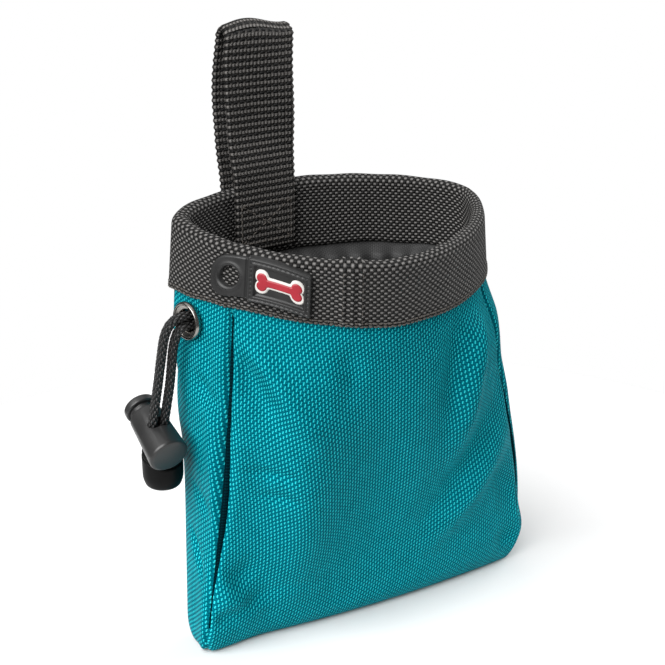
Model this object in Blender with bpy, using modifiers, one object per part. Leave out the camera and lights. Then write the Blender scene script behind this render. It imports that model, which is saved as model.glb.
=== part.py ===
"""Drawstring treat pouch: a soft nylon wedge with a webbing mouth, a belt loop and a cord lock.

Frame: metres, +Z up, the base rests on z = 0 with its centre at the origin, the front faces -Y.
The belt loop stands on the back wall, the drawstring leaves through the eyelet in the -X gusset.
"""
import math

import bmesh
import bpy
import numpy as np
from mathutils import Matrix, Vector

# --- driving dimensions (metres) ---------------------------------------------------------------
HEIGHT = 0.1600             # base to rim
BAND_WIDTH = 0.0250         # webbing that shows outside the mouth, 50 mm webbing folded in half
BASE_HALF_WIDTH = 0.0706    # corner seam to centre at the base
BASE_HALF_DEPTH = 0.0079    # corner seam to centre line at the base
BASE_BELLY = 0.0064         # how far the middle of the base stands out beyond its corners
BAND_HALF_WIDTH = 0.0641    # the straight-sided shape's corners, at the band
BAND_HALF_DEPTH = 0.0251
BAND_BELLY = 0.0090
BAND_SHIFT = 0.0026         # the straight-sided shape leans this far to the right on its way up
GUSSET_BULGE = 0.0014       # how far a gusset stands out between its seams
# where the fabric stands out, or is pressed in by the cord end: place, height, their reaches, depth
FULLNESS = ((1.10, 0.1150, 0.55, 0.0200, 0.0026), (1.00, 0.0150, 0.50, 0.0150, 0.0020),
            (3.45, 0.0680, 0.45, 0.0300, -0.0013))

MOUTH_HALF_WIDTH = 0.0563   # the mouth is a front and a back half of a slightly pointed oval
MOUTH_FRONT = 0.0528
MOUTH_BACK = 0.0265
MOUTH_POWER = 1.75          # exponent of that oval, an ellipse has 2
MOUTH_SPREAD = 0.0022       # the oval's half width grows by this over each band width below the rim
MOUTH_CENTRE = (-0.0110, 0.0035)
MOUTH_TWIST = math.radians(-5.8)
GUSSET_ANGLE = math.radians(32.8)   # half the angle that a gusset takes of the mouth's oval
RIM_TILT = 0.125            # the rim falls towards the front
RIM_TILT_START = 0.100      # height where that tilt begins
OVAL_START = 0.0108         # height where the section begins to round out towards the mouth's oval
OVAL_END = 0.1364
OVAL_EASE = 1.16
BAND_LIFT = 0.0025          # the webbing is folded short by this at the front left seam
BAND_LIFT_REACH = 0.30

BOTTOM_RADIUS = 0.0096      # rounding of the bottom edge
BOTTOM_TUCK = 0.39          # share of the half depth that the rounding takes away
BOTTOM_PINCH = 0.03         # share of the half width that it takes away

FABRIC = 0.0010
GAP = 0.0004                # clearance between pieces that touch
LINING_TOP = (0.0014, 0.0021)       # outer and inner depth of the lining in the binding
LINING_BODY = (0.0067, 0.0074)      # and below the drawstring
LINING_FLOOR = 0.0020
BINDING_OUTER = (-0.0017, -0.0004)  # depths of the webbing outside the fabric
BINDING_INNER = (0.0025, 0.0038)    # and inside the lining

CORD_RADIUS = 0.0017
CORD_SPREAD = 0.00175       # half the distance between the two strands
EYELET_S = 3.720            # place on the perimeter, see section_point
EYELET_Z = 0.1277
EYELET_HOLE = 0.0038
EYELET_RADIUS = 0.0069
DRAWSTRING_DEPTH = 0.0033
DRAWSTRING_Z = 0.1265

LOOP_X = -0.0270
LOOP_WIDTH = 0.0258
LOOP_THICKNESS = 0.0018
LOOP_TOP = 0.2213
LOOP_TAIL = 0.0235          # sewn length below the rim

BADGE_START = -0.0060       # along the band from the front left seam
BADGE_TAB = 0.0146
BADGE_END = 0.0296
BADGE_CREST = (0.0110, 0.1506)      # the label's middle line arches up to this point
BADGE_ARCH = 9.5            # and falls off it by this much per metre squared
BADGE_HALF_HEIGHT = 0.0078
BADGE_THICKNESS = 0.0016
BADGE_FRAME = 0.0010
BADGE_HOLE = 0.0036

LOCK_CENTRE = Vector((-0.0808, 0.0042, 0.0851))
LOCK_TILT = math.radians(25.0)
LOCK_YAW = math.radians(2.0)
LOCK_RADIUS = 0.0061        # at the plunger's end
LOCK_FLARE = 0.0072         # at the closed end
LOCK_BORE = 0.0047
LOCK_TRAVEL = 0.0020
SLOT_HALF_WIDTH = 0.0041
CORD_END = Vector((-0.0779, 0.0065, 0.0632))
CORD_END_RADIUS = 0.0074

COLUMNS = 14                # facets across a wide panel
GUSSET_COLUMNS = 10
WALL_ROWS = (0.1572, 0.150, 0.143, 0.136, 0.1295, 0.123, 0.1165, 0.107, 0.096, 0.083, 0.069,
             0.055, 0.041, 0.028, 0.017, 0.008)
MATERIALS = {
    "nylon": ((0.0, 0.26, 0.30), 0.62, 0.0),
    "webbing": ((0.045, 0.045, 0.047), 0.8, 0.0),
    "lining": ((0.02, 0.02, 0.022), 0.7, 0.0),
    "rubber": ((0.018, 0.018, 0.02), 0.55, 0.0),
    "emblem": ((0.45, 0.03, 0.04), 0.45, 0.0),
    "nickel": ((0.62, 0.60, 0.57), 0.28, 1.0),
    "cord": ((0.012, 0.012, 0.013), 0.75, 0.0),
    "plastic": ((0.015, 0.015, 0.016), 0.38, 0.0),
    "spring_steel": ((0.5, 0.5, 0.5), 0.3, 1.0),
}


# --- the pouch's surface -----------------------------------------------------------------------
def smoothstep(x):
    x = np.clip(x, 0.0, 1.0)
    return x * x * (3.0 - 2.0 * x)


def mouth_point(s, z):
    """The mouth's oval. s runs 0-1 along the front, 1-2 right gusset, 2-3 back, 3-4 left gusset."""
    g = GUSSET_ANGLE
    turn = math.pi
    angle = np.interp(s, [0, 1, 2, 3, 4], [turn + g, 2 * turn - g, 2 * turn + g, 3 * turn - g, 3 * turn + g])
    across, depth = np.cos(angle), np.sin(angle)
    half_width = MOUTH_HALF_WIDTH + MOUTH_SPREAD * np.clip((HEIGHT - z) / BAND_WIDTH, 0.0, 3.0)
    half_depth = np.where(depth < 0, MOUTH_FRONT, MOUTH_BACK)
    x = half_width * np.sign(across) * np.abs(across) ** (2 / MOUTH_POWER)
    y = half_depth * np.sign(depth) * np.abs(depth) ** (2 / MOUTH_POWER)
    c, q = math.cos(MOUTH_TWIST), math.sin(MOUTH_TWIST)
    return c * x - q * y + MOUTH_CENTRE[0], q * x + c * y + MOUTH_CENTRE[1]


def flat_point(s, z):
    """The straight-sided section: four corner seams with slightly curved panels between them."""
    h = np.clip(z / (HEIGHT - BAND_WIDTH), 0.0, 1.0)
    width = BASE_HALF_WIDTH + (BAND_HALF_WIDTH - BASE_HALF_WIDTH) * h
    depth = BASE_HALF_DEPTH + (BAND_HALF_DEPTH - BASE_HALF_DEPTH) * h
    belly = BASE_BELLY + (BAND_BELLY - BASE_BELLY) * h
    side = np.floor(s).astype(int) % 4
    t = s - np.floor(s)
    bow = 4.0 * t * (1.0 - t)
    x = np.select([side == 0, side == 1, side == 2, side == 3],
                  [width * (2 * t - 1), width + GUSSET_BULGE * bow,
                   width * (1 - 2 * t), -width - GUSSET_BULGE * bow]) + BAND_SHIFT * h
    y = np.select([side == 0, side == 1, side == 2, side == 3],
                  [-depth - belly * bow, depth * (2 * t - 1), depth + belly * bow, depth * (1 - 2 * t)])
    return x, y


def fullness(s, z):
    """How far the fabric stands out beyond its plain section."""
    total = 0.0
    for place, height, reach_s, reach_z, depth in FULLNESS:
        away = np.abs((s - place + 2.0) % 4.0 - 2.0)
        rise = 1 - smoothstep(np.abs(z - height) / reach_z)
        total = total + depth * (1 - smoothstep(away / reach_s)) * rise
    return total


def section_point(s, z, inset=0.0):
    """A point at place s on the perimeter and height z, inset metres inside the fabric's face."""
    s, z = np.broadcast_arrays(np.asarray(s, float), np.asarray(z, float))
    inset = inset - fullness(s, z)
    blend = smoothstep((z - OVAL_START) / (OVAL_END - OVAL_START)) ** OVAL_EASE
    mx, my = mouth_point(s, z)
    fx, fy = flat_point(s, z)
    x = blend * mx + (1 - blend) * fx
    y = blend * my + (1 - blend) * fy
    half_width = blend * MOUTH_HALF_WIDTH + (1 - blend) * BASE_HALF_WIDTH
    half_depth = blend * 0.5 * (MOUTH_FRONT + MOUTH_BACK) + (1 - blend) * (BASE_HALF_DEPTH + BASE_BELLY)
    cx = blend * MOUTH_CENTRE[0]
    cy = blend * (MOUTH_CENTRE[1] - 0.5 * (MOUTH_FRONT - MOUTH_BACK))
    x = cx + (x - cx) * (1 - inset / half_width)
    y = cy + (y - cy) * (1 - inset / half_depth)
    lift = np.clip(1.0 - z / BOTTOM_RADIUS, 0.0, 1.0)
    round_in = 1.0 - np.sqrt(1.0 - lift * lift)
    x = x * (1.0 - BOTTOM_PINCH * round_in)
    y = y * (1.0 - BOTTOM_TUCK * round_in)
    tilt = RIM_TILT * smoothstep((z - RIM_TILT_START) / (HEIGHT - RIM_TILT_START))
    return np.stack([x, y, z + tilt * y], -1)


def surface_frame(s, z, inset=0.0):
    """Origin, outward normal, sideways tangent (towards larger s) and upward tangent at a place."""
    step = 1e-3
    origin = Vector(section_point(s, z, inset).tolist())
    sideways = section_point(s + step, z, inset) - section_point(s - step, z, inset)
    upwards = section_point(s, z + step, inset) - section_point(s, z - step, inset)
    along = Vector(sideways.tolist()).normalized()
    up = Vector(upwards.tolist()).normalized()
    normal = along.cross(up).normalized()
    return origin, normal, along, normal.cross(along).normalized()


def frame_matrix(origin, x_axis, y_axis, z_axis):
    matrix = Matrix((x_axis, y_axis, z_axis)).transposed().to_4x4()
    matrix.translation = origin
    return matrix


# --- building helpers --------------------------------------------------------------------------
def clear_scene():
    for old in list(bpy.data.objects):
        bpy.data.objects.remove(old, do_unlink=True)
    for name in ("treat_pouch", "cutters"):
        if name in bpy.data.collections:
            bpy.data.collections.remove(bpy.data.collections[name])
        bpy.context.scene.collection.children.link(bpy.data.collections.new(name))


def make_material(name):
    colour, roughness, metallic = MATERIALS[name]
    material = bpy.data.materials.get(name) or bpy.data.materials.new(name)
    material.use_nodes = True
    shader = material.node_tree.nodes["Principled BSDF"]
    shader.inputs["Base Color"].default_value = (*colour, 1.0)
    shader.inputs["Roughness"].default_value = roughness
    shader.inputs["Metallic"].default_value = metallic
    material.diffuse_color = (*colour, 1.0)
    return material


def add_object(name, data, material=None, collection="treat_pouch"):
    piece = bpy.data.objects.new(name, data)
    bpy.data.collections[collection].objects.link(piece)
    if material:
        data.materials.append(make_material(material))
    return piece


def mesh_from_bmesh(name, bm, material, smooth_angle=40.0, collection="treat_pouch"):
    bmesh.ops.recalc_face_normals(bm, faces=bm.faces)
    mesh = bpy.data.meshes.new(name)
    bm.to_mesh(mesh)
    bm.free()
    mesh.shade_smooth()
    mesh.set_sharp_from_angle(angle=math.radians(smooth_angle))
    return add_object(name, mesh, material, collection)


def grid_faces(bm, grid, wrap_columns=False, wrap_rows=False):
    rows, columns = len(grid), len(grid[0])
    for i in range(rows if wrap_rows else rows - 1):
        for j in range(columns if wrap_columns else columns - 1):
            k, m = (i + 1) % rows, (j + 1) % columns
            bm.faces.new((grid[i][j], grid[i][m], grid[k][m], grid[k][j]))


def sheet_solid(name, outer, inner, material):
    """A closed sheet between two open grids of points."""
    bm = bmesh.new()
    skins = [[[bm.verts.new(p) for p in row] for row in grid] for grid in (outer, inner)]
    for skin in skins:
        grid_faces(bm, skin)
    border = [lambda g: g[0], lambda g: g[-1], lambda g: [r[0] for r in g], lambda g: [r[-1] for r in g]]
    for edge in border:
        grid_faces(bm, [edge(skins[0]), edge(skins[1])])
    return mesh_from_bmesh(name, bm, material)


def ring_solid(name, loops, material, smooth_angle=40.0):
    """A closed ring swept from a closed profile: loops[i] is one profile point's way round."""
    bm = bmesh.new()
    grid = [[bm.verts.new(p) for p in loop] for loop in loops]
    grid_faces(bm, grid, wrap_columns=True, wrap_rows=True)
    return mesh_from_bmesh(name, bm, material, smooth_angle)


def turned(name, profile, material, matrix, steps=32):
    """A turned piece. The profile of (radius, height) runs down its outer side."""
    mesh = bpy.data.meshes.new(name)
    closed = profile[0][0] > 0
    edges = [(i, i + 1) for i in range(len(profile) - 1)]
    if closed:
        edges.append((len(profile) - 1, 0))
    mesh.from_pydata([(r, 0.0, h) for r, h in profile], edges, [])
    piece = add_object(name, mesh, material)
    piece.matrix_world = matrix
    screw = piece.modifiers.new("turn", "SCREW")
    screw.axis = "Z"
    screw.angle = 2 * math.pi
    screw.steps = steps
    screw.render_steps = steps
    screw.use_merge_vertices = True
    screw.merge_threshold = 1e-5
    screw.use_smooth_shade = True
    return piece


def cut(piece, cutter):
    boolean = piece.modifiers.new("cut_" + cutter.name, "BOOLEAN")
    boolean.operation = "DIFFERENCE"
    boolean.solver = "EXACT"
    boolean.object = cutter
    cutter.hide_render = True
    cutter.display_type = "WIRE"


def cylinder_cutter(name, radius, low, high, matrix, segments=32):
    bm = bmesh.new()
    bmesh.ops.create_cone(bm, cap_ends=True, segments=segments, radius1=radius, radius2=radius,
                          depth=high - low)
    bmesh.ops.translate(bm, verts=bm.verts, vec=(0, 0, 0.5 * (low + high)))
    cutter = mesh_from_bmesh(name, bm, None, collection="cutters")
    cutter.matrix_world = matrix
    return cutter


def smooth_route(points, spacing):
    """Points at even spacing on a Catmull-Rom curve through a route's own points."""
    pts = [2 * points[0] - points[1]] + list(points) + [2 * points[-1] - points[-2]]
    dense = []
    for a, b, c, d in zip(pts, pts[1:], pts[2:], pts[3:]):
        for k in range(16):
            t = k / 16
            dense.append(0.5 * (2 * b + (c - a) * t + (2 * a - 5 * b + 4 * c - d) * t ** 2
                                + (3 * b - 3 * c + d - a) * t ** 3))
    dense.append(points[-1])
    dense = np.array([tuple(p) for p in dense])
    length = np.concatenate([[0], np.cumsum(np.linalg.norm(np.diff(dense, axis=0), axis=1))])
    marks = np.linspace(0, length[-1], max(2, round(length[-1] / spacing)) + 1)
    return np.stack([np.interp(marks, length, dense[:, k]) for k in range(3)], -1)


def tube(name, points, radius, material):
    curve = bpy.data.curves.new(name, "CURVE")
    curve.dimensions = "3D"
    curve.bevel_depth = radius
    curve.bevel_resolution = 2
    curve.use_fill_caps = True
    spline = curve.splines.new("POLY")
    spline.points.add(len(points) - 1)
    for point, place in zip(spline.points, points):
        point.co = (*place, 1.0)
    return add_object(name, curve, material)


# --- soft body ---------------------------------------------------------------------------------
def arc_rows():
    """Heights of the rows that round the bottom edge, from the wall down to the base."""
    return [BOTTOM_RADIUS * (1 - math.sin(math.radians(a))) for a in (25, 50, 70)] + [0.0]


def body_panel():
    """One strip of nylon: front, round the bottom, and up the back."""
    heights = list(WALL_ROWS) + arc_rows()
    edge = 0.0003 / (2 * BASE_HALF_WIDTH)
    t = np.linspace(edge, 1 - edge, COLUMNS + 1)
    skins = []
    for inset, floor in ((0.0, 0.0), (FABRIC, FABRIC)):
        rows = []
        for z in heights:
            rows.append(section_point(t, max(z, floor), inset))
        front = list(rows)
        back = [section_point(3 - t, max(z, floor), inset) for z in reversed(heights)]
        under = [front[-1] + (back[0] - front[-1]) * k for k in (0.33, 0.67)]
        skins.append(front + under + back)
    return sheet_solid("body_panel", *skins, "nylon")


def gusset(name, first):
    """A side panel between two corner seams; first is where it starts on the perimeter."""
    heights = [z for z in list(WALL_ROWS) + arc_rows() if z > 0.0005]
    skins = []
    for inset in (0.0, FABRIC):
        rows = []
        for z in heights:
            ends = section_point(np.array([first, first + 1.0]), z)
            edge = 0.0003 / np.linalg.norm(ends[1] - ends[0])
            rows.append(section_point(first + np.linspace(edge, 1 - edge, GUSSET_COLUMNS + 1), z, inset))
        skins.append(rows)
    return sheet_solid(name, *skins, "nylon")


def lining():
    """The inner bag: it hangs clear of the drawstring and is caught in the binding at the top."""
    places = np.linspace(0, 4, 41)[:-1]
    heights = (0.1572, 0.148, 0.1347, 0.1315, 0.118, 0.100, 0.080, 0.060, 0.040, 0.022, 0.010)
    loops = []
    for k in (0, 1):
        skin = []
        for z in heights:
            low = min(1.0, max(0.0, (0.1347 - z) / 0.0032))
            skin.append(section_point(places, z, LINING_TOP[k] + (LINING_BODY[k] - LINING_TOP[k]) * low))
        bottom = section_point(places, 0.006, LINING_BODY[k] + 0.003)
        bottom[:, 2] = LINING_FLOOR + 0.0007 * k
        loops.append(skin + [bottom])
    bm = bmesh.new()
    outer, inner = ([[bm.verts.new(p) for p in loop] for loop in skin] for skin in loops)
    for skin in (outer, inner):
        grid_faces(bm, skin, wrap_columns=True)
        bm.faces.new(skin[-1])
    grid_faces(bm, [outer[0], inner[0]], wrap_columns=True)
    return mesh_from_bmesh("lining", bm, "lining")


def band_low(s):
    """Height of the webbing's lower edge outside."""
    away = ((np.asarray(s, float) + 2.0) % 4.0 - 2.0) / BAND_LIFT_REACH
    return HEIGHT - BAND_WIDTH + BAND_LIFT * np.exp(-away ** 2)


def mouth_binding():
    """Webbing folded over the rim: a leg outside the fabric and a leg inside the lining."""
    places = np.linspace(0, 4, 61)[:-1]
    low = band_low(places)
    out_far, out_near = BINDING_OUTER
    in_near, in_far = BINDING_INNER
    profile = [(out_far, low), (out_far, 0.148), (out_far, 0.1572), (-0.0012, 0.1592), (0.0006, HEIGHT),
               (0.0026, 0.1592), (in_far, 0.1572), (in_far, 0.148), (in_far, low),
               (in_near, low), (in_near, 0.148), (in_near, 0.1578), (out_near, 0.1578), (out_near, 0.148),
               (out_near, low)]
    rings = [section_point(places, z, inset) for inset, z in profile]
    return ring_solid("mouth_binding", rings, "webbing", 50)


# --- webbing belt loop -------------------------------------------------------------------------
def loop_frame():
    """Frame at the back wall, under the loop's middle: X along the wall, Y outwards, Z up."""
    places = np.linspace(2.0, 3.0, 401)
    xs = section_point(places, HEIGHT)[:, 0]
    s = float(places[np.argmin(np.abs(xs - LOOP_X))])
    wall = Vector(section_point(s, HEIGHT).tolist())
    a, b = section_point(s - 0.08, HEIGHT), section_point(s + 0.08, HEIGHT)
    along = Vector((a[0] - b[0], a[1] - b[1], 0)).normalized()
    return frame_matrix(wall, along, Vector((0, 0, 1)).cross(along), Vector((0, 0, 1)))


def belt_loop():
    """A strap folded over: one leg sewn inside the mouth, the other on the back wall outside."""
    matrix = loop_frame()
    half = 0.5 * LOOP_THICKNESS
    front = -BINDING_INNER[1] - 0.0013 - half
    rear = -BINDING_OUTER[0] + 0.0006 + half
    low = -LOOP_TAIL
    top = LOOP_TOP - matrix.translation.z
    bend = 0.5 * (rear - front)
    middle = 0.5 * (rear + front)
    sewn = rear + 0.0004
    centre_line = [(front, low), (front, -0.010), (front, 0.004), (front, 0.5 * top),
                   (front, top - half - bend)]
    for a in range(150, 29, -30):
        angle = math.radians(a)
        centre_line.append((middle + bend * math.cos(angle), top - half - bend + bend * math.sin(angle)))
    centre_line += [(rear, top - half - bend), (rear, 0.5 * top), (rear, 0.004), (sewn, -0.008), (sewn, low)]
    path = np.array(centre_line)
    tangent = np.gradient(path, axis=0)
    tangent /= np.linalg.norm(tangent, axis=1)[:, None]
    side = np.stack([-tangent[:, 1], tangent[:, 0]], -1) * half
    widths = np.linspace(-0.5 * LOOP_WIDTH, 0.5 * LOOP_WIDTH, 4)
    skins = []
    for sign in (1, -1):
        rows = [[matrix @ Vector((w, q[0], q[1])) for w in widths] for q in path + sign * side]
        skins.append(rows)
    return sheet_solid("belt_loop", *skins, "webbing")


# --- badge -------------------------------------------------------------------------------------
def band_table():
    """Perimeter places against length along the band's outer face, from the front left seam."""
    places = np.linspace(-0.6, 0.8, 561)
    points = section_point(np.mod(places, 4), 0.147, BINDING_OUTER[0])
    length = np.concatenate([[0], np.cumsum(np.linalg.norm(np.diff(points, axis=0), axis=1))])
    return places, length - np.interp(0.0, places, length)


def band_point(u, z, lift):
    """A point u along the band from the front left seam, lift metres off its face."""
    places, length = band_table()
    s = np.mod(np.interp(u, length, places), 4)
    return section_point(s, z, BINDING_OUTER[0] - lift)


def badge_middle(u):
    """Height of the label's middle line."""
    return BADGE_CREST[1] - BADGE_ARCH * (u - BADGE_CREST[0]) ** 2


def badge_patch():
    """Moulded rubber label: a round-ended tab with a hole, and a raised frame round a recess."""
    half = BADGE_HALF_HEIGHT
    tab = np.array([0.0, 0.0004, 0.0013, 0.0030, 0.0052, 0.0078])
    u = np.concatenate([tab, np.linspace(0.0110, BADGE_END - BADGE_START, 11)]) + BADGE_START
    end = np.clip((u - BADGE_START) / 0.0090, 0.0, 1.0)
    reach = half * np.maximum(0.16, np.sqrt(1 - (1 - end) ** 2))
    v = np.linspace(-1, 1, 7)
    skins = []
    for lift in (GAP + BADGE_THICKNESS, GAP):
        skins.append([band_point(u, badge_middle(u) + k * reach, lift) for k in v])
    patch = sheet_solid("badge_patch", *skins, "rubber")
    hole_u = BADGE_START + 0.0072
    places, length = band_table()
    hole_s = float(np.interp(hole_u, length, places)) % 4
    origin, normal, along, up = surface_frame(hole_s, badge_middle(hole_u), BINDING_OUTER[0])
    cutter = cylinder_cutter("badge_hole", BADGE_HOLE, 0.0001, 0.008, frame_matrix(origin, along, up, normal))
    cut(patch, cutter)
    return patch


def badge_frame():
    """The raised rectangular rim of the label."""
    half = BADGE_HALF_HEIGHT - 0.0006
    lifts = (GAP + BADGE_THICKNESS + GAP, GAP + BADGE_THICKNESS + GAP + BADGE_FRAME)
    left, right = BADGE_START + BADGE_TAB, BADGE_END - 0.0006
    wall = 0.0021

    def outline(inset):
        us = np.linspace(left + inset, right - inset, 7)
        zs = np.linspace(inset - half, half - inset, 4)
        corners = [(u, zs[0]) for u in us] + [(us[-1], z) for z in zs[1:]]
        corners += [(u, zs[-1]) for u in us[::-1][1:]] + [(us[0], z) for z in zs[::-1][1:-1]]
        return np.array(corners)

    outer, inner = outline(0.0), outline(wall)
    loops = [band_point(o[:, 0], badge_middle(o[:, 0]) + o[:, 1], lift) for o, lift in
             ((outer, lifts[0]), (outer, lifts[1]), (inner, lifts[1]), (inner, lifts[0]))]
    return ring_solid("badge_frame", loops, "rubber", 50)


def badge_emblem():
    """A plain bone-shaped inlay in the label's recess."""
    mid_u = 0.5 * (BADGE_START + BADGE_TAB + BADGE_END - 0.0006)
    u = np.linspace(-1, 1, 15)
    knob = np.clip((np.abs(u) - 0.45) / 0.55, 0, 1)
    reach = 0.0013 + 0.0019 * np.sin(math.pi * np.clip(knob * 0.80 + 0.05, 0, 1)) ** 0.7
    v = np.linspace(-1, 1, 5)
    half_length = 0.0078
    skins = []
    for lift in (GAP + BADGE_THICKNESS + GAP + 0.0006, GAP + BADGE_THICKNESS + GAP):
        rows = []
        for k in v:
            notch = 0.0009 * (1 - k * k) * np.abs(u) ** 6 * np.sign(u)
            along = mid_u + u * half_length - notch
            rows.append(band_point(along, badge_middle(along) + k * reach, lift))
        skins.append(rows)
    return sheet_solid("badge_emblem", *skins, "emblem")


# --- eyelet and drawstring ---------------------------------------------------------------------
def eyelet_frame():
    """At the eyelet's centre on the fabric: Z outwards, X towards the front, Y up the wall."""
    origin, normal, along, up = surface_frame(EYELET_S, EYELET_Z)
    level = Vector((normal.x, normal.y, 0.0)).normalized()
    side = Vector((0, 0, 1)).cross(level)
    return frame_matrix(origin, side, level.cross(side), level)


def eyelet(left_gusset):
    matrix = eyelet_frame()
    r, hole = EYELET_RADIUS, EYELET_HOLE
    face = GAP + 0.0006
    flange = [(hole, -0.0021), (hole, face + 0.0009), (hole + 0.0008, face + 0.0015),
              (r - 0.0010, face + 0.0011), (r, face + 0.0003), (r, face), (hole + 0.0006, face),
              (hole + 0.0006, -0.0021)]
    turned("eyelet_flange", flange, "nickel", matrix)
    back = -FABRIC - GAP - 0.0006
    washer = [(hole + 0.0009, back), (r - 0.0012, back), (r - 0.0012, back - 0.0005),
              (hole + 0.0009, back - 0.0005)]
    turned("eyelet_washer", washer, "nickel", matrix)
    cut(left_gusset, cylinder_cutter("eyelet_hole", hole + 0.0009, -0.006, 0.006, matrix))


def drawstring():
    """The run inside the tunnel, right round the mouth between the nylon and the lining."""
    matrix = eyelet_frame()
    up = CORD_SPREAD

    def near(x, y, z):
        return matrix @ Vector((x, y, z))

    start = [near(0.0020, up, -0.0044), near(0.0055, 0.0013, -0.0044)]
    finish = [near(-0.0055, -0.0013, -0.0044), near(-0.0020, -up, -0.0044)]
    round_mouth = [Vector(section_point(s % 4, DRAWSTRING_Z, DRAWSTRING_DEPTH).tolist())
                   for s in np.linspace(EYELET_S + 0.33, EYELET_S + 4 - 0.33, 33)]
    tube("drawstring", smooth_route(start + round_mouth + finish, 0.0062), CORD_RADIUS, "cord")


OUTER_STRAND = [(-0.0720, -0.0021, 0.1294), (-0.0745, -0.0020, 0.1288),
                (-0.0768, -0.0015, 0.1266), (-0.0783, -0.0006, 0.1224), (-0.0793, 0.0002, 0.1155),
                (-0.0805, 0.0009, 0.1065), (-0.0818, 0.0013, 0.0984), (-0.0827, 0.0015, 0.0928),
                (-0.0830, 0.0020, 0.0898), (-0.0830, 0.0042, 0.0851), (-0.0830, 0.0063, 0.0805),
                (-0.0815, 0.0069, 0.0777), (-0.0801, 0.0067, 0.0749), (-0.0797, 0.0065, 0.0722)]
INNER_STRAND = [(-0.0715, -0.0021, 0.1258), (-0.0731, -0.0020, 0.1250),
                (-0.0743, -0.0015, 0.1226), (-0.0751, -0.0006, 0.1183), (-0.0756, 0.0002, 0.1120),
                (-0.0763, 0.0009, 0.1045), (-0.0774, 0.0013, 0.0976), (-0.0783, 0.0015, 0.0926),
                (-0.0786, 0.0020, 0.0898), (-0.0786, 0.0042, 0.0851), (-0.0786, 0.0063, 0.0805),
                (-0.0777, 0.0069, 0.0777), (-0.0765, 0.0067, 0.0749), (-0.0762, 0.0065, 0.0722)]


def hanging_strands():
    """The two ends of the drawstring: out of the eyelet, over in an arch, through the cord lock."""
    matrix = eyelet_frame()
    for name, route, up in (("cord_strand_outer", OUTER_STRAND, CORD_SPREAD),
                            ("cord_strand_inner", INNER_STRAND, -CORD_SPREAD)):
        inside = [matrix @ Vector((0.0, up, -0.0048)), matrix @ Vector((0.0, up, 0.0015))]
        tube(name, smooth_route(inside + [Vector(p) for p in route], 0.0032), CORD_RADIUS, "cord")


# --- cord lock and cord end --------------------------------------------------------------------
def lock_frame():
    """At the lock's slot: Z along the barrel towards the plunger, Y the way that the cords pass up."""
    forward = Vector((math.sin(LOCK_YAW), -math.cos(LOCK_YAW) * math.cos(LOCK_TILT), -math.sin(LOCK_TILT)))
    axis = -forward.normalized()
    side = Vector((0, 0, 1)).cross(axis).normalized()
    return frame_matrix(LOCK_CENTRE, side, axis.cross(side), axis)


def slot_cutter(name, matrix, low, high, reach):
    """A slot right through a piece along its Y, from low to high along its Z."""
    bm = bmesh.new()
    bmesh.ops.create_cube(bm, size=1.0)
    bmesh.ops.scale(bm, verts=bm.verts, vec=(2 * SLOT_HALF_WIDTH, 2 * reach, high - low))
    bmesh.ops.translate(bm, verts=bm.verts, vec=(0, 0, 0.5 * (low + high)))
    cutter = mesh_from_bmesh(name, bm, None, collection="cutters")
    cutter.matrix_world = matrix
    return cutter


def cord_lock():
    matrix = lock_frame()
    r, bore = LOCK_RADIUS, LOCK_BORE
    wide = LOCK_FLARE
    profile = [(0.0, -0.0088), (bore, -0.0088), (bore, 0.0093), (r - 0.0005, 0.0093), (r, 0.0088),
               (0.5 * (r + wide), -0.0010), (wide, -0.0102), (wide - 0.0003, -0.0109),
               (wide - 0.0012, -0.0113), (0.0, -0.0117)]
    barrel = turned("lock_barrel", profile, "plastic", matrix)
    slot = CORD_RADIUS + 0.0005
    cut(barrel, slot_cutter("barrel_slot", matrix, -slot, slot, 0.010))
    stem = 0.0045
    head = 0.0093 + LOCK_TRAVEL + 0.0003
    plunger = turned("lock_plunger", [(0.0, head + 0.0018), (0.0036, head + 0.0018), (0.0042, head + 0.0032),
                                      (r - 0.0008, head + 0.0032), (r, head + 0.0026), (r, head + 0.0004),
                                      (r - 0.0004, head), (stem, head), (stem, -0.0050), (0.0, -0.0050)],
                     "plastic", matrix)
    cut(plunger, slot_cutter("plunger_slot", matrix, -slot, slot + LOCK_TRAVEL, 0.010))
    turns, radius = 3.5, 0.0028
    coil = []
    for k in range(int(turns * 10) + 1):
        angle = 2 * math.pi * k / 10
        height = -0.0084 + (0.0030 * k) / (turns * 10)
        coil.append(matrix @ Vector((radius * math.cos(angle), radius * math.sin(angle), height)))
    tube("lock_spring", coil, 0.0003, "spring_steel")


def cord_end():
    """Bell that holds the knotted ends: a cup, its cap and the knot inside."""
    at = Matrix.Translation(CORD_END)
    r = CORD_END_RADIUS
    turned("cord_end_cup", [(0.0, 0.0014), (r - 0.0026, 0.0018), (r - 0.0013, 0.0036), (r - 0.0013, 0.0094),
                            (r - 0.0002, 0.0094), (r, 0.0090), (r - 0.0002, 0.0042), (r - 0.0016, 0.0014),
                            (r - 0.0040, 0.0002), (0.0, 0.0)], "plastic", at)
    profile = [(0.0, 0.0112), (r - 0.0014, 0.0112), (r - 0.0002, 0.0107), (r - 0.0001, 0.0098),
               (0.0, 0.0098)]
    cap = turned("cord_end_cap", profile, "plastic", at)
    upright = frame_matrix(CORD_END, Vector((1, 0, 0)), Vector((0, 0, 1)), Vector((0, -1, 0)))
    cut(cap, slot_cutter("cap_slot", upright, -CORD_RADIUS - 0.0005, CORD_RADIUS + 0.0005, 0.020))
    bm = bmesh.new()
    bmesh.ops.create_uvsphere(bm, u_segments=14, v_segments=8, radius=1.0)
    bmesh.ops.scale(bm, verts=bm.verts, vec=(0.0042, 0.0036, 0.0030))
    bmesh.ops.translate(bm, verts=bm.verts, vec=CORD_END + Vector((0, 0, 0.0054)))
    mesh_from_bmesh("cord_knot", bm, "cord")


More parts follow.
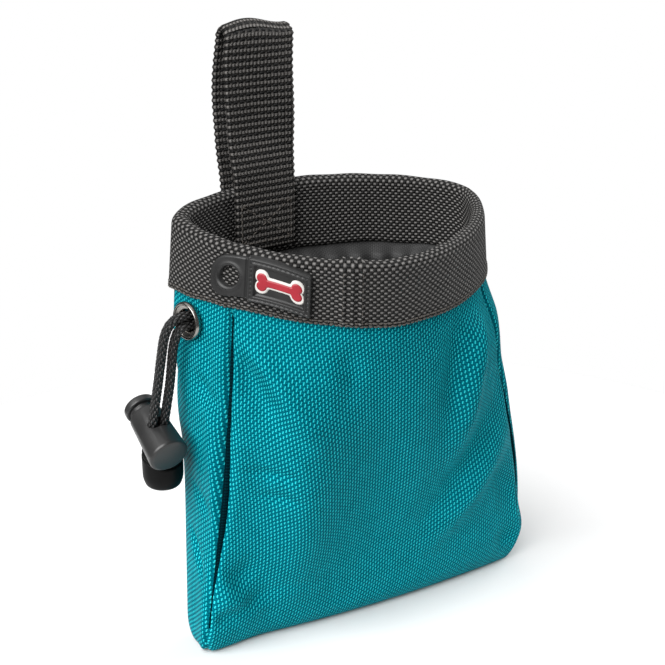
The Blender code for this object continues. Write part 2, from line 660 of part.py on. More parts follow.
def main():
    clear_scene()
    body_panel()
    left = gusset("left_gusset", 3)
    gusset("right_gusset", 1)
    lining()
    mouth_binding()
    belt_loop()
    badge_patch()
    badge_frame()
    badge_emblem()
    eyelet(left)
    drawstring()
    hanging_strands()
    cord_lock()
    cord_end()


main()
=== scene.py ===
"""Looks of the treat pouch: nylon, webbing, rubber, nickel and braided cord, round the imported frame."""
import math

import bmesh
import bpy
import numpy as np
from mathutils import Matrix, Vector


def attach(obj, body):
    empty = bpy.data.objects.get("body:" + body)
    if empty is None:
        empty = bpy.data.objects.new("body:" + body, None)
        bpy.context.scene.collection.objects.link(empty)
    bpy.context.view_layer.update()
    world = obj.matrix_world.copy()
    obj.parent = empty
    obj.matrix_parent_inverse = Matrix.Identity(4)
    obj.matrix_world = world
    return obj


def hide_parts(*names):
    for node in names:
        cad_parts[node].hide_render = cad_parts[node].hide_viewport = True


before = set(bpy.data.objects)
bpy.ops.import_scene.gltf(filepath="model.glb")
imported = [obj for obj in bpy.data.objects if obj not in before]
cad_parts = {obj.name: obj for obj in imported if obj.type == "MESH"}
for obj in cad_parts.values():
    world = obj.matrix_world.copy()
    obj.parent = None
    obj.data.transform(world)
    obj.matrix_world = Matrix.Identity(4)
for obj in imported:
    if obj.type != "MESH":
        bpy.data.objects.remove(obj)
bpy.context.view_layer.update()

# --- sizes, as in the CAD model (metres) ---------------------------------------------------------
HEIGHT = 0.1600             # base to rim
BAND_WIDTH = 0.0250         # webbing that shows outside the mouth, 50 mm webbing folded in half
BASE_HALF_WIDTH = 0.0706    # corner seam to centre at the base
BASE_HALF_DEPTH = 0.0079    # corner seam to centre line at the base
BASE_BELLY = 0.0064         # how far the middle of the base stands out beyond its corners
BAND_HALF_WIDTH = 0.0641    # the straight-sided shape's corners, at the band
BAND_HALF_DEPTH = 0.0251
BAND_BELLY = 0.0090
BAND_SHIFT = 0.0026         # the straight-sided shape leans this far to the right on its way up
GUSSET_BULGE = 0.0014       # how far a gusset stands out between its seams
# where the fabric stands out, or is pressed in by the cord end: place, height, their reaches, depth
FULLNESS = ((1.10, 0.1150, 0.55, 0.0200, 0.0026), (1.00, 0.0150, 0.50, 0.0150, 0.0020),
            (3.45, 0.0680, 0.45, 0.0300, -0.0013))

MOUTH_HALF_WIDTH = 0.0563   # the mouth is a front and a back half of a slightly pointed oval
MOUTH_FRONT = 0.0528
MOUTH_BACK = 0.0265
MOUTH_POWER = 1.75          # exponent of that oval, an ellipse has 2
MOUTH_SPREAD = 0.0022       # the oval's half width grows by this over each band width below the rim
MOUTH_CENTRE = (-0.0110, 0.0035)
MOUTH_TWIST = math.radians(-5.8)
GUSSET_ANGLE = math.radians(32.8)   # half the angle that a gusset takes of the mouth's oval
RIM_TILT = 0.125            # the rim falls towards the front
RIM_TILT_START = 0.100      # height where that tilt begins
OVAL_START = 0.0108         # height where the section begins to round out towards the mouth's oval
OVAL_END = 0.1364
OVAL_EASE = 1.16
BAND_LIFT = 0.0025          # the webbing is folded short by this at the front left seam
BAND_LIFT_REACH = 0.30

BOTTOM_RADIUS = 0.0096      # rounding of the bottom edge
BOTTOM_TUCK = 0.39          # share of the half depth that the rounding takes away
BOTTOM_PINCH = 0.03         # share of the half width that it takes away

CLOTH = 0.0009              # thickness of the nylon
BAND_FACE = -0.0017         # inset of the band's outer face
BAND_FACE_Z = 0.147         # height at which lengths along the band are measured
EYELET_S = 3.720            # the eyelet's place on the perimeter, and its height
EYELET_Z = 0.1277
EYELET_RADIUS = 0.0069
EYELET_HOLE = 0.0038

LOOP_X = -0.0270            # middle of the belt loop
LOOP_WIDTH = 0.0258
LOOP_TOP = 0.2213
LOOP_TAIL = 0.0235          # length of each sewn tail below the rim
LOOP_INSIDE = 0.0038 + 0.0013   # how far the inner tail's face lies inside the nylon's face
LOOP_OUTSIDE = 0.0017 + 0.0006  # and the outer tail's face outside it
LOOP_BOW = 0.0024           # how far the rear leg stands out
LOOP_SPREAD = 0.0011        # how far the free part's left edge spreads
LOOP_RISE = 0.0005          # how far the fold stands above LOOP_TOP
LOOP_TURN = 0.0024          # the front leg's left edge stands back by this
LOOP_CREST = 0.0008         # waves of the fold at the top

LAP_S = 0.350               # middle of the band's lap, on the perimeter
LAP_HALF = 0.046
LAP_RIB = 0.0030            # spacing of the ribs pressed in the lap

BADGE_START = -0.0060       # the label's ends, along the band from the front left seam
BADGE_END = 0.0296
BADGE_TAB = 0.0146          # length of its round tab
BADGE_CREST = (0.0110, 0.1506)      # highest point of its middle line
BADGE_ARCH = 9.5            # curvature of that line
BADGE_HALF_HEIGHT = 0.0078
BADGE_TOP = 0.0017          # face of the label's plate above the band
BADGE_CORNER = 0.0013       # rounding of the plate's corners
BADGE_HOLE = 0.0037
BADGE_HOLE_U = BADGE_START + 0.0072
PLATE = (BADGE_START + BADGE_TAB, BADGE_END)

CORD_RADIUS = 0.0017
CORD_SPREAD = 0.00175       # each strand's distance from the eyelet's centre
LOCK_CENTRE = Vector((-0.0808, 0.0042, 0.0851))
LOCK_TILT = math.radians(25.0)
LOCK_YAW = math.radians(2.0)
LOCK_RADIUS = 0.0061        # the barrel at its mouth, and at its flared foot
LOCK_FLARE = 0.0072
LOCK_BORE = 0.0047
LOCK_MOUTH = 0.0093         # the barrel's mouth and the bottom of its bore, from the slot
LOCK_BORE_END = -0.0088
LOCK_TRAVEL = 0.0020
SLOT_HALF_WIDTH = 0.0041
SLOT_HALF_HEIGHT = CORD_RADIUS + 0.0005
CORD_END = Vector((-0.0779, 0.0065, 0.0632))
CORD_END_RADIUS = 0.0074
CORD_END_SLOPE = 0.36       # how much the cord end's top rises towards the back, along the barrel

# yarn pitch across and along each cloth
NYLON_PITCH = (0.00118, 0.00092)
WEBBING_PITCH = (0.00108, 0.00128)
STRAP_PITCH = (0.00128, 0.00120)
LINING_PITCH = (0.0006, 0.0006)


# --- the pouch's surface ---------------------------------------------------------------------------
def smoothstep(x):
    x = np.clip(x, 0.0, 1.0)
    return x * x * (3.0 - 2.0 * x)


def mouth_point(s, z):
    """The mouth's oval. s runs 0-1 along the front, 1-2 right gusset, 2-3 back, 3-4 left gusset."""
    gusset, half_turn = GUSSET_ANGLE, math.pi
    corners = [half_turn + gusset, 2 * half_turn - gusset, 2 * half_turn + gusset, 3 * half_turn - gusset,
               3 * half_turn + gusset]
    angle = np.interp(s, [0, 1, 2, 3, 4], corners)
    across, depth = np.cos(angle), np.sin(angle)
    half_width = MOUTH_HALF_WIDTH + MOUTH_SPREAD * np.clip((HEIGHT - z) / BAND_WIDTH, 0.0, 3.0)
    half_depth = np.where(depth < 0, MOUTH_FRONT, MOUTH_BACK)
    x = half_width * np.sign(across) * np.abs(across) ** (2 / MOUTH_POWER)
    y = half_depth * np.sign(depth) * np.abs(depth) ** (2 / MOUTH_POWER)
    cosine, sine = math.cos(MOUTH_TWIST), math.sin(MOUTH_TWIST)
    return cosine * x - sine * y + MOUTH_CENTRE[0], sine * x + cosine * y + MOUTH_CENTRE[1]


def flat_point(s, z):
    """The straight-sided section: four corner seams with slightly curved panels between them."""
    h = np.clip(z / (HEIGHT - BAND_WIDTH), 0.0, 1.0)
    width = BASE_HALF_WIDTH + (BAND_HALF_WIDTH - BASE_HALF_WIDTH) * h
    depth = BASE_HALF_DEPTH + (BAND_HALF_DEPTH - BASE_HALF_DEPTH) * h
    belly = BASE_BELLY + (BAND_BELLY - BASE_BELLY) * h
    side = np.floor(s).astype(int) % 4
    t = s - np.floor(s)
    bow = 4.0 * t * (1.0 - t)
    x = np.select([side == 0, side == 1, side == 2, side == 3],
                  [width * (2 * t - 1), width + GUSSET_BULGE * bow,
                   width * (1 - 2 * t), -width - GUSSET_BULGE * bow]) + BAND_SHIFT * h
    y = np.select([side == 0, side == 1, side == 2, side == 3],
                  [-depth - belly * bow, depth * (2 * t - 1), depth + belly * bow, depth * (1 - 2 * t)])
    return x, y


def fullness(s, z):
    """How far the fabric stands out beyond its plain section."""
    total = 0.0
    for place, height, reach_s, reach_z, depth in FULLNESS:
        away = np.abs((s - place + 2.0) % 4.0 - 2.0)
        rise = 1 - smoothstep(np.abs(z - height) / reach_z)
        total = total + depth * (1 - smoothstep(away / reach_s)) * rise
    return total


def section_point(s, z, inset=0.0):
    """A point at place s on the perimeter and height z, inset metres inside the fabric's face."""
    s, z, inset = np.broadcast_arrays(np.asarray(s, float), np.asarray(z, float), np.asarray(inset, float))
    inset = inset - fullness(s, z)
    blend = smoothstep((z - OVAL_START) / (OVAL_END - OVAL_START)) ** OVAL_EASE
    mx, my = mouth_point(s, z)
    fx, fy = flat_point(s, z)
    x = blend * mx + (1 - blend) * fx
    y = blend * my + (1 - blend) * fy
    half_width = blend * MOUTH_HALF_WIDTH + (1 - blend) * BASE_HALF_WIDTH
    half_depth = blend * 0.5 * (MOUTH_FRONT + MOUTH_BACK) + (1 - blend) * (BASE_HALF_DEPTH + BASE_BELLY)
    cx = blend * MOUTH_CENTRE[0]
    cy = blend * (MOUTH_CENTRE[1] - 0.5 * (MOUTH_FRONT - MOUTH_BACK))
    x = cx + (x - cx) * (1 - inset / half_width)
    y = cy + (y - cy) * (1 - inset / half_depth)
    lift = np.clip(1.0 - z / BOTTOM_RADIUS, 0.0, 1.0)
    round_in = 1.0 - np.sqrt(1.0 - lift * lift)
    x = x * (1.0 - BOTTOM_PINCH * round_in)
    y = y * (1.0 - BOTTOM_TUCK * round_in)
    tilt = RIM_TILT * smoothstep((z - RIM_TILT_START) / (HEIGHT - RIM_TILT_START))
    return np.stack([x, y, z + tilt * y], -1)


def surface_frame(s, z, inset=0.0):
    """Origin, outward normal, sideways tangent (towards larger s) and upward tangent at a place."""
    step = 1e-3
    origin = Vector(section_point(s, z, inset).tolist())
    sideways = section_point(s + step, z, inset) - section_point(s - step, z, inset)
    upwards = section_point(s, z + step, inset) - section_point(s, z - step, inset)
    along = Vector(sideways.tolist()).normalized()
    up = Vector(upwards.tolist()).normalized()
    normal = along.cross(up).normalized()
    return origin, normal, along, normal.cross(along).normalized()


def frame_matrix(origin, x_axis, y_axis, z_axis):
    matrix = Matrix((x_axis, y_axis, z_axis)).transposed().to_4x4()
    matrix.translation = origin
    return matrix


# --- node helpers ----------------------------------------------------------------------------------
class Nodes:
    """Short calls for building one material's nodes."""

    def __init__(self, name):
        self.name = name
        self.material = bpy.data.materials.new(name)
        self.material.use_nodes = True
        self.tree = self.material.node_tree
        self.shader = self.tree.nodes["Principled BSDF"]

    def node(self, kind, **values):
        node = self.tree.nodes.new(kind)
        for key, value in values.items():
            setattr(node, key, value)
        return node

    def put(self, value, socket):
        if hasattr(value, "is_output"):
            self.tree.links.new(value, socket)
        else:
            socket.default_value = value

    def math(self, operation, a, b=0.0, c=0.0):
        node = self.node("ShaderNodeMath", operation=operation)
        for value, socket in zip((a, b, c), node.inputs):
            self.put(value, socket)
        return node.outputs[0]

    def mix(self, factor, a, b, mode="MIX"):
        node = self.node("ShaderNodeMix", data_type="RGBA", blend_type=mode)
        self.put(factor, node.inputs["Factor"])
        self.put(a, node.inputs["A"])
        self.put(b, node.inputs["B"])
        return node.outputs["Result"]

    def wave(self, operation, value):
        """Sine or cosine, one half turn for each unit."""
        return self.math(operation, self.math("MULTIPLY", value, math.pi))

    def alternate(self, value):
        """1 in the even cells and -1 in the odd ones."""
        return self.wave("COSINE", self.math("FLOOR", value))

    def noise(self, scale, detail=3.0):
        node = self.node("ShaderNodeTexNoise")
        self.put(self.node("ShaderNodeTexCoord").outputs["Object"], node.inputs["Vector"])
        node.inputs["Scale"].default_value = scale
        node.inputs["Detail"].default_value = detail
        return node.outputs["Fac"]

    def ramp(self, value, low, high, to_low=0.0, to_high=1.0):
        node = self.node("ShaderNodeMapRange")
        ends = {"Value": value, "From Min": low, "From Max": high, "To Min": to_low, "To Max": to_high}
        for key, item in ends.items():
            self.put(item, node.inputs[key])
        return node.outputs[0]

    def uv(self):
        node = self.node("ShaderNodeUVMap", uv_map="cloth")
        parts = self.node("ShaderNodeSeparateXYZ")
        self.put(node.outputs[0], parts.inputs[0])
        return parts.outputs[0], parts.outputs[1]

    def bump(self, height, distance):
        node = self.node("ShaderNodeBump")
        node.inputs["Distance"].default_value = distance
        self.put(height, node.inputs["Height"])
        self.put(node.outputs[0], self.shader.inputs["Normal"])

    def set(self, **values):
        for key, value in values.items():
            self.put(value, self.shader.inputs[key.replace("_", " ")])
        return self


def grey(value, warmth=0.0):
    return (value * (1 + warmth), value, value * (1 - warmth), 1.0)


def weave(n, across, along, wobble, slant, ridge, lead, rib):
    """Height, warp mask and crest of a plain weave, with the warp running along the second coordinate.

    slant leans each float, ridge is the roundness of a warp yarn, lead makes the warp floats longer,
    and rib is 0 where neighbouring floats alternate and 1 where they stand side by side."""
    across = n.math("ADD", across, wobble)
    along = n.math("ADD", along, wobble)
    turn = n.math("MULTIPLY", n.wave("COSINE", along), slant)
    across = n.math("MULTIPLY_ADD", n.alternate(across), turn, across)
    column = n.math("MULTIPLY_ADD", n.alternate(across), 1.0 - rib, rib)
    row = n.alternate(along)
    wave_across = n.wave("SINE", across)
    wave_along = n.wave("SINE", along)
    level = n.math("MULTIPLY_ADD", n.math("MULTIPLY", column, wave_along), 1.0 + lead, lead)
    level = n.math("MINIMUM", level, 1.0)
    warp_round = n.math("POWER", n.math("ABSOLUTE", wave_across), ridge)
    weft_round = n.math("POWER", n.math("ABSOLUTE", wave_along), 0.6)
    warp = n.math("MULTIPLY_ADD", level, 0.45, n.math("MULTIPLY", warp_round, 0.55))
    under = n.math("MULTIPLY", n.math("MULTIPLY", row, wave_across), -0.45)
    weft = n.math("MULTIPLY_ADD", weft_round, 0.5, n.math("SUBTRACT", under, 0.3 * min(lead, 1.0)))
    height = n.math("MAXIMUM", warp, weft)
    mask = n.ramp(n.math("SUBTRACT", warp, weft), -0.08, 0.12)
    crest = n.ramp(n.math("MULTIPLY", mask, warp), 0.70, 0.90)
    return height, mask, crest


def cloth_material(name, pitch, warp_colour, weft_colour, painted_glint, relief, roughness, warp_along_v=True,
                   gap=0.25, slant=0.0, ridge=0.6, lead=0.0, rib=0.0):
    """Woven cloth: painted_glint is the colour of a painted highlight on the warp's crests, and gap the
    painted shade between the yarns.
    """
    n = Nodes(name)
    u, v = n.uv()
    wobble = n.math("MULTIPLY", n.math("SUBTRACT", n.noise(60.0, 2.0), 0.5), 0.5)
    first, second = (u, v) if warp_along_v else (v, u)
    across = n.math("DIVIDE", first, pitch[0])
    along = n.math("DIVIDE", second, pitch[1])
    height, mask, crest = weave(n, across, along, wobble, slant, ridge, lead, rib)
    colour = n.mix(mask, weft_colour, warp_colour)
    # painted highlight: the crests of the warp floats are mixed towards a lighter glint colour
    colour = n.mix(crest, colour, painted_glint)
    # painted shade: the cloth is darkened where the yarns lie low, between the floats
    shade = n.ramp(height, 0.05, 0.75, gap, 1.0)
    patches = n.ramp(n.noise(220.0, 2.0), 0.3, 0.7, 0.92, 1.06)
    colour = n.mix(1.0, colour, n.math("MULTIPLY", shade, patches), "MULTIPLY")
    n.set(Base_Color=colour, Roughness=roughness)
    n.bump(height, relief)
    return n


def plain(name, colour, roughness, scale, relief):
    """Moulded rubber or plastic: fine grain, and small changes of shade and gloss."""
    n = Nodes(name)
    grain = n.noise(scale, 4.0)
    cloud = n.noise(90.0, 3.0)
    shade = n.ramp(cloud, 0.3, 0.7, 0.85, 1.15)
    n.set(Base_Color=n.mix(1.0, colour, shade, "MULTIPLY"),
          Roughness=n.ramp(cloud, 0.3, 0.7, roughness - 0.05, roughness + 0.07))
    n.bump(grain, relief)
    return n


def metal(name, colour, scale, smoothest, roughest):
    """Bare metal with fine changes of gloss."""
    n = Nodes(name)
    brushed = n.noise(scale, 2.0)
    return n.set(Base_Color=colour, Metallic=1.0, Roughness=n.ramp(brushed, 0.3, 0.7, smoothest, roughest))


def braid_material():
    """Braided cord: two sets of strands wound opposite ways, in units of one turn and one pitch."""
    n = Nodes("cord")
    u, v = n.uv()
    turn = n.math("MULTIPLY", u, 6.0)
    ridge_one = n.math("ABSOLUTE", n.wave("SINE", n.math("ADD", turn, v)))
    ridge_two = n.math("ABSOLUTE", n.wave("SINE", n.math("SUBTRACT", turn, v)))
    height = n.math("MULTIPLY", ridge_one, ridge_two)
    fibre = n.noise(2500.0, 2.0)
    shade = n.math("MULTIPLY", n.ramp(height, 0.0, 0.8, 0.25, 1.0), n.ramp(fibre, 0.3, 0.7, 0.7, 1.4))
    n.set(Base_Color=n.mix(1.0, grey(0.013), shade, "MULTIPLY"), Roughness=0.5)
    n.bump(n.math("ADD", height, n.math("MULTIPLY", fibre, 0.2)), 0.0003)
    return n


def build_materials():
    # the third colour of each cloth is its painted highlight on the yarn crests
    nylon = cloth_material("nylon", NYLON_PITCH, (0.0, 0.172, 0.232, 1), (0.0, 0.112, 0.156, 1),
                           (0.030, 0.62, 0.66, 1), 0.0004, 0.42, gap=0.66, slant=-0.10, ridge=5.0, lead=2.0)
    nylon.set(Specular_IOR_Level=0.01, Specular_Tint=(0.3, 0.9, 1.0, 1))
    webbing = cloth_material("webbing", WEBBING_PITCH, grey(0.080, 0.05), grey(0.006), grey(0.17, 0.03),
                             0.0009, 0.62, warp_along_v=False, gap=0.06, ridge=1.1, lead=0.25, rib=0.08)
    strap = cloth_material("strap", STRAP_PITCH, grey(0.060, 0.08), grey(0.006), grey(0.15, 0.05),
                           0.0009, 0.62, gap=0.10, ridge=1.1, lead=0.34, rib=0.85)
    for cloth in (webbing, strap):
        cloth.set(Specular_IOR_Level=0.2)
    lining = cloth_material("lining", LINING_PITCH, grey(0.030), grey(0.016), grey(0.030), 0.0001, 0.6)
    # painted shadow: a near-black teal cloth for the strips in the corner seams
    seam_shadow_cloth = cloth_material("seam_shadow_cloth", LINING_PITCH, (0.001, 0.016, 0.022, 1), (0.001, 0.008, 0.012, 1),
                          (0.001, 0.020, 0.026, 1), 0.0001, 0.8)
    seam_shadow_cloth.set(Specular_IOR_Level=0.0)
    thread = Nodes("thread").set(Base_Color=grey(0.060, 0.14), Roughness=0.8)
    thread.bump(thread.noise(3000.0), 0.0001)
    rubber = plain("rubber", grey(0.013), 0.46, 700.0, 0.00004)
    plastic = plain("plastic", grey(0.021), 0.34, 500.0, 0.00002)
    moulding = plain("moulding", grey(0.003), 0.45, 500.0, 0.00002)
    moulding.set(Specular_IOR_Level=0.12)
    emblem = plain("emblem", (0.33, 0.016, 0.028, 1), 0.42, 700.0, 0.00003)
    cream = plain("cream", (0.62, 0.60, 0.57, 1), 0.45, 700.0, 0.00003)
    nickel = metal("nickel", (0.30, 0.285, 0.265, 1), 900.0, 0.16, 0.30)
    steel = metal("spring_steel", (0.5, 0.5, 0.5, 1), 1500.0, 0.25, 0.4)
    made = (nylon, webbing, strap, lining, seam_shadow_cloth, thread, rubber, plastic, moulding, emblem, cream, nickel,
            steel, braid_material())
    return {one.name: one.material for one in made}


# --- mesh helpers ----------------------------------------------------------------------------------
def full_turn(count):
    """Angles evenly spaced round a full turn."""
    return np.linspace(0, 2 * math.pi, count + 1)[:-1]


def add_object(name, data):
    """A new object in the scene."""
    thing = bpy.data.objects.new(name, data)
    bpy.context.scene.collection.objects.link(thing)
    return thing


def make_piece(name, mesh, material, nodes=(), body="pouch"):
    """A piece that rides on a body, takes its material's slot and stands for the CAD nodes named."""
    piece = add_object(name, mesh)
    mesh.materials.append(materials[material])
    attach(piece, body)
    if nodes:
        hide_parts(*nodes)
    return piece


def uv_mesh(name, points, faces, uv):
    """A smooth mesh with one UV for each face corner."""
    mesh = bpy.data.meshes.new(name)
    mesh.from_pydata(points.reshape(-1, 3).tolist(), [], faces.tolist())
    layer = mesh.uv_layers.new(name="cloth")
    layer.data.foreach_set("uv", uv.astype(np.float32).ravel())
    mesh.shade_smooth()
    return mesh


def grid_mesh(name, points, uv, wrap_columns=False, wrap_rows=False):
    """A mesh of quads over a grid of points (rows, columns, 3). uv gives a coordinate for each corner."""
    points = np.asarray(points, float)
    rows, columns = points.shape[:2]
    i, j = np.meshgrid(np.arange(rows if wrap_rows else rows - 1),
                       np.arange(columns if wrap_columns else columns - 1), indexing="ij")
    i, j = i.ravel(), j.ravel()
    corners_i = np.stack([i, i, i + 1, i + 1], -1)
    corners_j = np.stack([j, j + 1, j + 1, j], -1)
    faces = (corners_i % rows) * columns + corners_j % columns
    return uv_mesh(name, points, faces, np.asarray(uv)[corners_i.ravel(), corners_j.ravel()])


def uv_grid(along, up):
    """UVs from one list for the columns and one for the rows."""
    u, v = np.meshgrid(np.asarray(along, float), np.asarray(up, float))
    return np.stack([u, v], -1)


def lengths(points, axis=0):
    """Running length along a line of points, or along one axis of a grid of them."""
    step = np.linalg.norm(np.diff(points, axis=axis), axis=-1)
    first = np.zeros_like(np.take(step, [0], axis=axis))
    return np.concatenate([first, np.cumsum(step, axis=axis)], axis=axis)


def tangents(line):
    """Unit tangents along a line of points."""
    tangent = np.gradient(line, axis=0)
    return tangent / np.linalg.norm(tangent, axis=1)[:, None]


def side_normals(line):
    """Unit normals to the left of a line of points in a plane."""
    tangent = tangents(line)
    return np.stack([-tangent[:, 1], tangent[:, 0]], -1)


def rounded_end(end, half_thickness, reach):
    """Half thickness of a webbing at a distance from its cut end or edge, rounded off within reach."""
    return half_thickness * np.sqrt(np.clip(1 - (1 - np.clip(end / reach, 0, 1)) ** 2, 0.04, 1))


def grid_normals(points):
    down = np.gradient(points, axis=0)
    across = np.gradient(points, axis=1)
    normal = np.cross(down, across)
    return normal / np.linalg.norm(normal, axis=-1, keepdims=True)


def solidify(piece, thickness, offset=-1.0):
    shell = piece.modifiers.new("thickness", "SOLIDIFY")
    shell.thickness = thickness
    shell.offset = offset


def weld(mesh, fill=False):
    """Join coincident vertices, close open ends if asked, and face everything outwards."""
    bm = bmesh.new()
    bm.from_mesh(mesh)
    bmesh.ops.remove_doubles(bm, verts=bm.verts, dist=1e-6)
    if fill:
        bmesh.ops.holes_fill(bm, edges=[e for e in bm.edges if e.is_boundary])
    bmesh.ops.recalc_face_normals(bm, faces=bm.faces)
    bm.to_mesh(mesh)
    bm.free()


def smooth_route(points, spacing):
    """Points at even spacing on a Catmull-Rom curve through a route's own points."""
    pts = [2 * points[0] - points[1]] + list(points) + [2 * points[-1] - points[-2]]
    dense = []
    for a, b, c, d in zip(pts, pts[1:], pts[2:], pts[3:]):
        for k in range(16):
            t = k / 16
            dense.append(0.5 * (2 * b + (c - a) * t + (2 * a - 5 * b + 4 * c - d) * t ** 2
                                + (3 * b - 3 * c + d - a) * t ** 3))
    dense.append(points[-1])
    dense = np.array([tuple(p) for p in dense])
    length = lengths(dense)
    marks = np.linspace(0, length[-1], max(2, round(length[-1] / spacing)) + 1)
    return np.stack([np.interp(marks, length, dense[:, k]) for k in range(3)], -1)


# --- nylon body ------------------------------------------------------------------------------------
def crease(u, z, start, end, height, width):
    """A soft ridge (or valley, if height is negative) from start to end on a panel, fading at its ends."""
    a, b = np.array(start), np.array(end)
    line = b - a
    t = np.clip(((u - a[0]) * line[0] + (z - a[1]) * line[1]) / (line @ line), 0, 1)
    distance = np.hypot(u - a[0] - t * line[0], z - a[1] - t * line[1])
    fade = np.sin(math.pi * np.clip(0.12 + 0.76 * t, 0, 1))
    return height * fade * np.exp(-(distance / width) ** 2)


# each fold: start and end on the panel (from its middle, height), height (a valley is negative), half width
FRONT_FOLDS = [((-0.0560, 0.1200), (-0.0450, 0.0960), -0.0036, 0.0052),
               ((-0.0540, 0.1340), (-0.0290, 0.0900), 0.0034, 0.0048),
               ((-0.0525, 0.0768), (-0.0375, 0.0756), -0.0016, 0.0020),
               ((-0.0500, 0.0672), (-0.0380, 0.0658), -0.0015, 0.0020),
               ((-0.0150, 0.1340), (-0.0175, 0.1000), -0.0016, 0.0042),
               ((0.0300, 0.1360), (0.0240, 0.0800), -0.0027, 0.0062),
               ((0.0440, 0.1280), (0.0270, 0.0700), 0.0050, 0.0064),
               ((0.0560, 0.0900), (0.0170, 0.0390), -0.0022, 0.0064),
               ((0.0540, 0.0670), (0.0230, 0.0270), 0.0040, 0.0066),
               ((0.0510, 0.0500), (0.0640, 0.0290), -0.0022, 0.0048),
               ((0.0585, 0.0190), (0.0645, 0.0090), -0.0024, 0.0045),
               ((-0.0620, 0.0350), (-0.0535, 0.0290), -0.0026, 0.0052),
               ((-0.0685, 0.0280), (-0.0550, 0.0150), 0.0032, 0.0050),
               ((-0.0700, 0.0140), (-0.0460, 0.0225), -0.0020, 0.0032),
               ((-0.0620, 0.0600), (-0.0560, 0.0950), 0.0016, 0.0060),
               ((-0.0330, 0.1050), (-0.0360, 0.0240), 0.0068, 0.0125),
               ((-0.0060, 0.1300), (-0.0020, 0.0300), -0.0026, 0.0120)]
GUSSET_FOLDS = [((0.0080, 0.1075), (0.0180, 0.0985), -0.0024, 0.0032),
                ((0.0125, 0.1220), (0.0165, 0.1040), -0.0015, 0.0028),
                ((0.0165, 0.1150), (0.0135, 0.0550), 0.0016, 0.0034),
                ((-0.0020, 0.0460), (0.0065, 0.0300), -0.0016, 0.0022),
                ((0.0005, 0.0650), (0.0100, 0.0560), -0.0013, 0.0030),
                ((-0.0120, 0.1150), (-0.0050, 0.0930), -0.0014, 0.0040)]
RIGHT_FOLDS = [((-0.012, 0.110), (0.004, 0.080), -0.0020, 0.0040),
               ((0.006, 0.060), (-0.004, 0.035), 0.0014, 0.0035)]
BACK_FOLDS = [((-0.040, 0.120), (-0.026, 0.060), -0.0024, 0.0065),
              ((0.042, 0.118), (0.030, 0.070), -0.0020, 0.0060),
              ((0.010, 0.050), (-0.030, 0.030), 0.0018, 0.0070),
              ((0.058, 0.040), (0.040, 0.020), -0.0020, 0.0050)]

SEAM_INSET = 0.0021         # how deep the dark strips of painted shadow lie in the corner seams
SEAM_GAPE_Z = 0.062         # height where the seams gape most
SEAM_GAPE_REACH = 0.024
BAND_EDGE = 0.1365          # just above the band's lower edge
PANEL_TOP = 0.1568          # the panels end under the band, just below the rim
PANEL_ROWS = 150
PANEL_COLUMNS = 121
GUSSET_COLUMNS = 57


def seam_gape(z):
    """0 where the corner seams are closed and 1 where they gape most."""
    return np.exp(-((z - SEAM_GAPE_Z) / SEAM_GAPE_REACH) ** 2)


def seam_groove(edge_distance, z):
    """How far a panel turns in along its corner seam: least under the band, most where the seam gapes."""
    gape = seam_gape(z)
    below_band = smoothstep((BAND_EDGE - z) / 0.005)
    further_down = smoothstep((0.124 - z) / 0.008)
    depth = 0.0008 + 0.0011 * below_band + 0.0011 * further_down + 0.0016 * gape
    width = 0.0014 + 0.0008 * gape
    return -depth * np.exp(-(edge_distance / width) ** 2)


def spread(count, edge):
    """Places from 0 to 1, closer together near both ends."""
    t = np.linspace(0, 1, count)
    return edge + (1 - 2 * edge) * (t - 0.11 * np.sin(2 * math.pi * t))


def fill_out(points):
    """The right side stands fuller below the band, and the front left corner of the base is drawn out."""
    x, y, z = points[..., 0], points[..., 1], points[..., 2]
    belt = smoothstep((BAND_EDGE - z) / 0.006) * smoothstep((z - 0.070) / 0.035)
    push = 0.0024 * belt * smoothstep((x - 0.030) / 0.035)
    corner = smoothstep((-x - 0.045) / 0.024) * smoothstep((-y - 0.001) / 0.006)
    corner = 0.0045 * corner * smoothstep((0.050 - z) / 0.040)
    return np.stack([x + push - 0.45 * corner, y - 0.85 * corner, z], -1)


def panel_grid(first, heights, count, flip=False):
    t = spread(count, 0.0008)
    s = first + (1 - t if flip else t)
    return fill_out(section_point(s[None, :], np.asarray(heights)[:, None]))


def wall_heights(turn, count):
    """Heights down a panel, from under the band to the base, then turn degrees round its bottom edge."""
    angle = np.radians(np.linspace(8, turn, count))
    return np.concatenate([np.linspace(PANEL_TOP, BOTTOM_RADIUS, PANEL_ROWS),
                           BOTTOM_RADIUS * (1 - np.sin(angle))])


def fold_lift(u, z, folds):
    return sum((crease(u, z, *fold) for fold in folds), np.zeros_like(u))


def panel_measure(points):
    """Distance from the middle line, distance to the nearer seam, and length down the middle."""
    across = lengths(points, 1)
    width = across[:, -1:]
    down = lengths(points)[:, points.shape[1] // 2]
    return across - 0.5 * width, np.minimum(across, width - across), down


def panel_mesh(name, points, u, down):
    uv = np.stack([u, np.broadcast_to(down[:, None], u.shape)], -1)
    mesh = grid_mesh(name, points, uv)
    mesh.flip_normals()
    return mesh


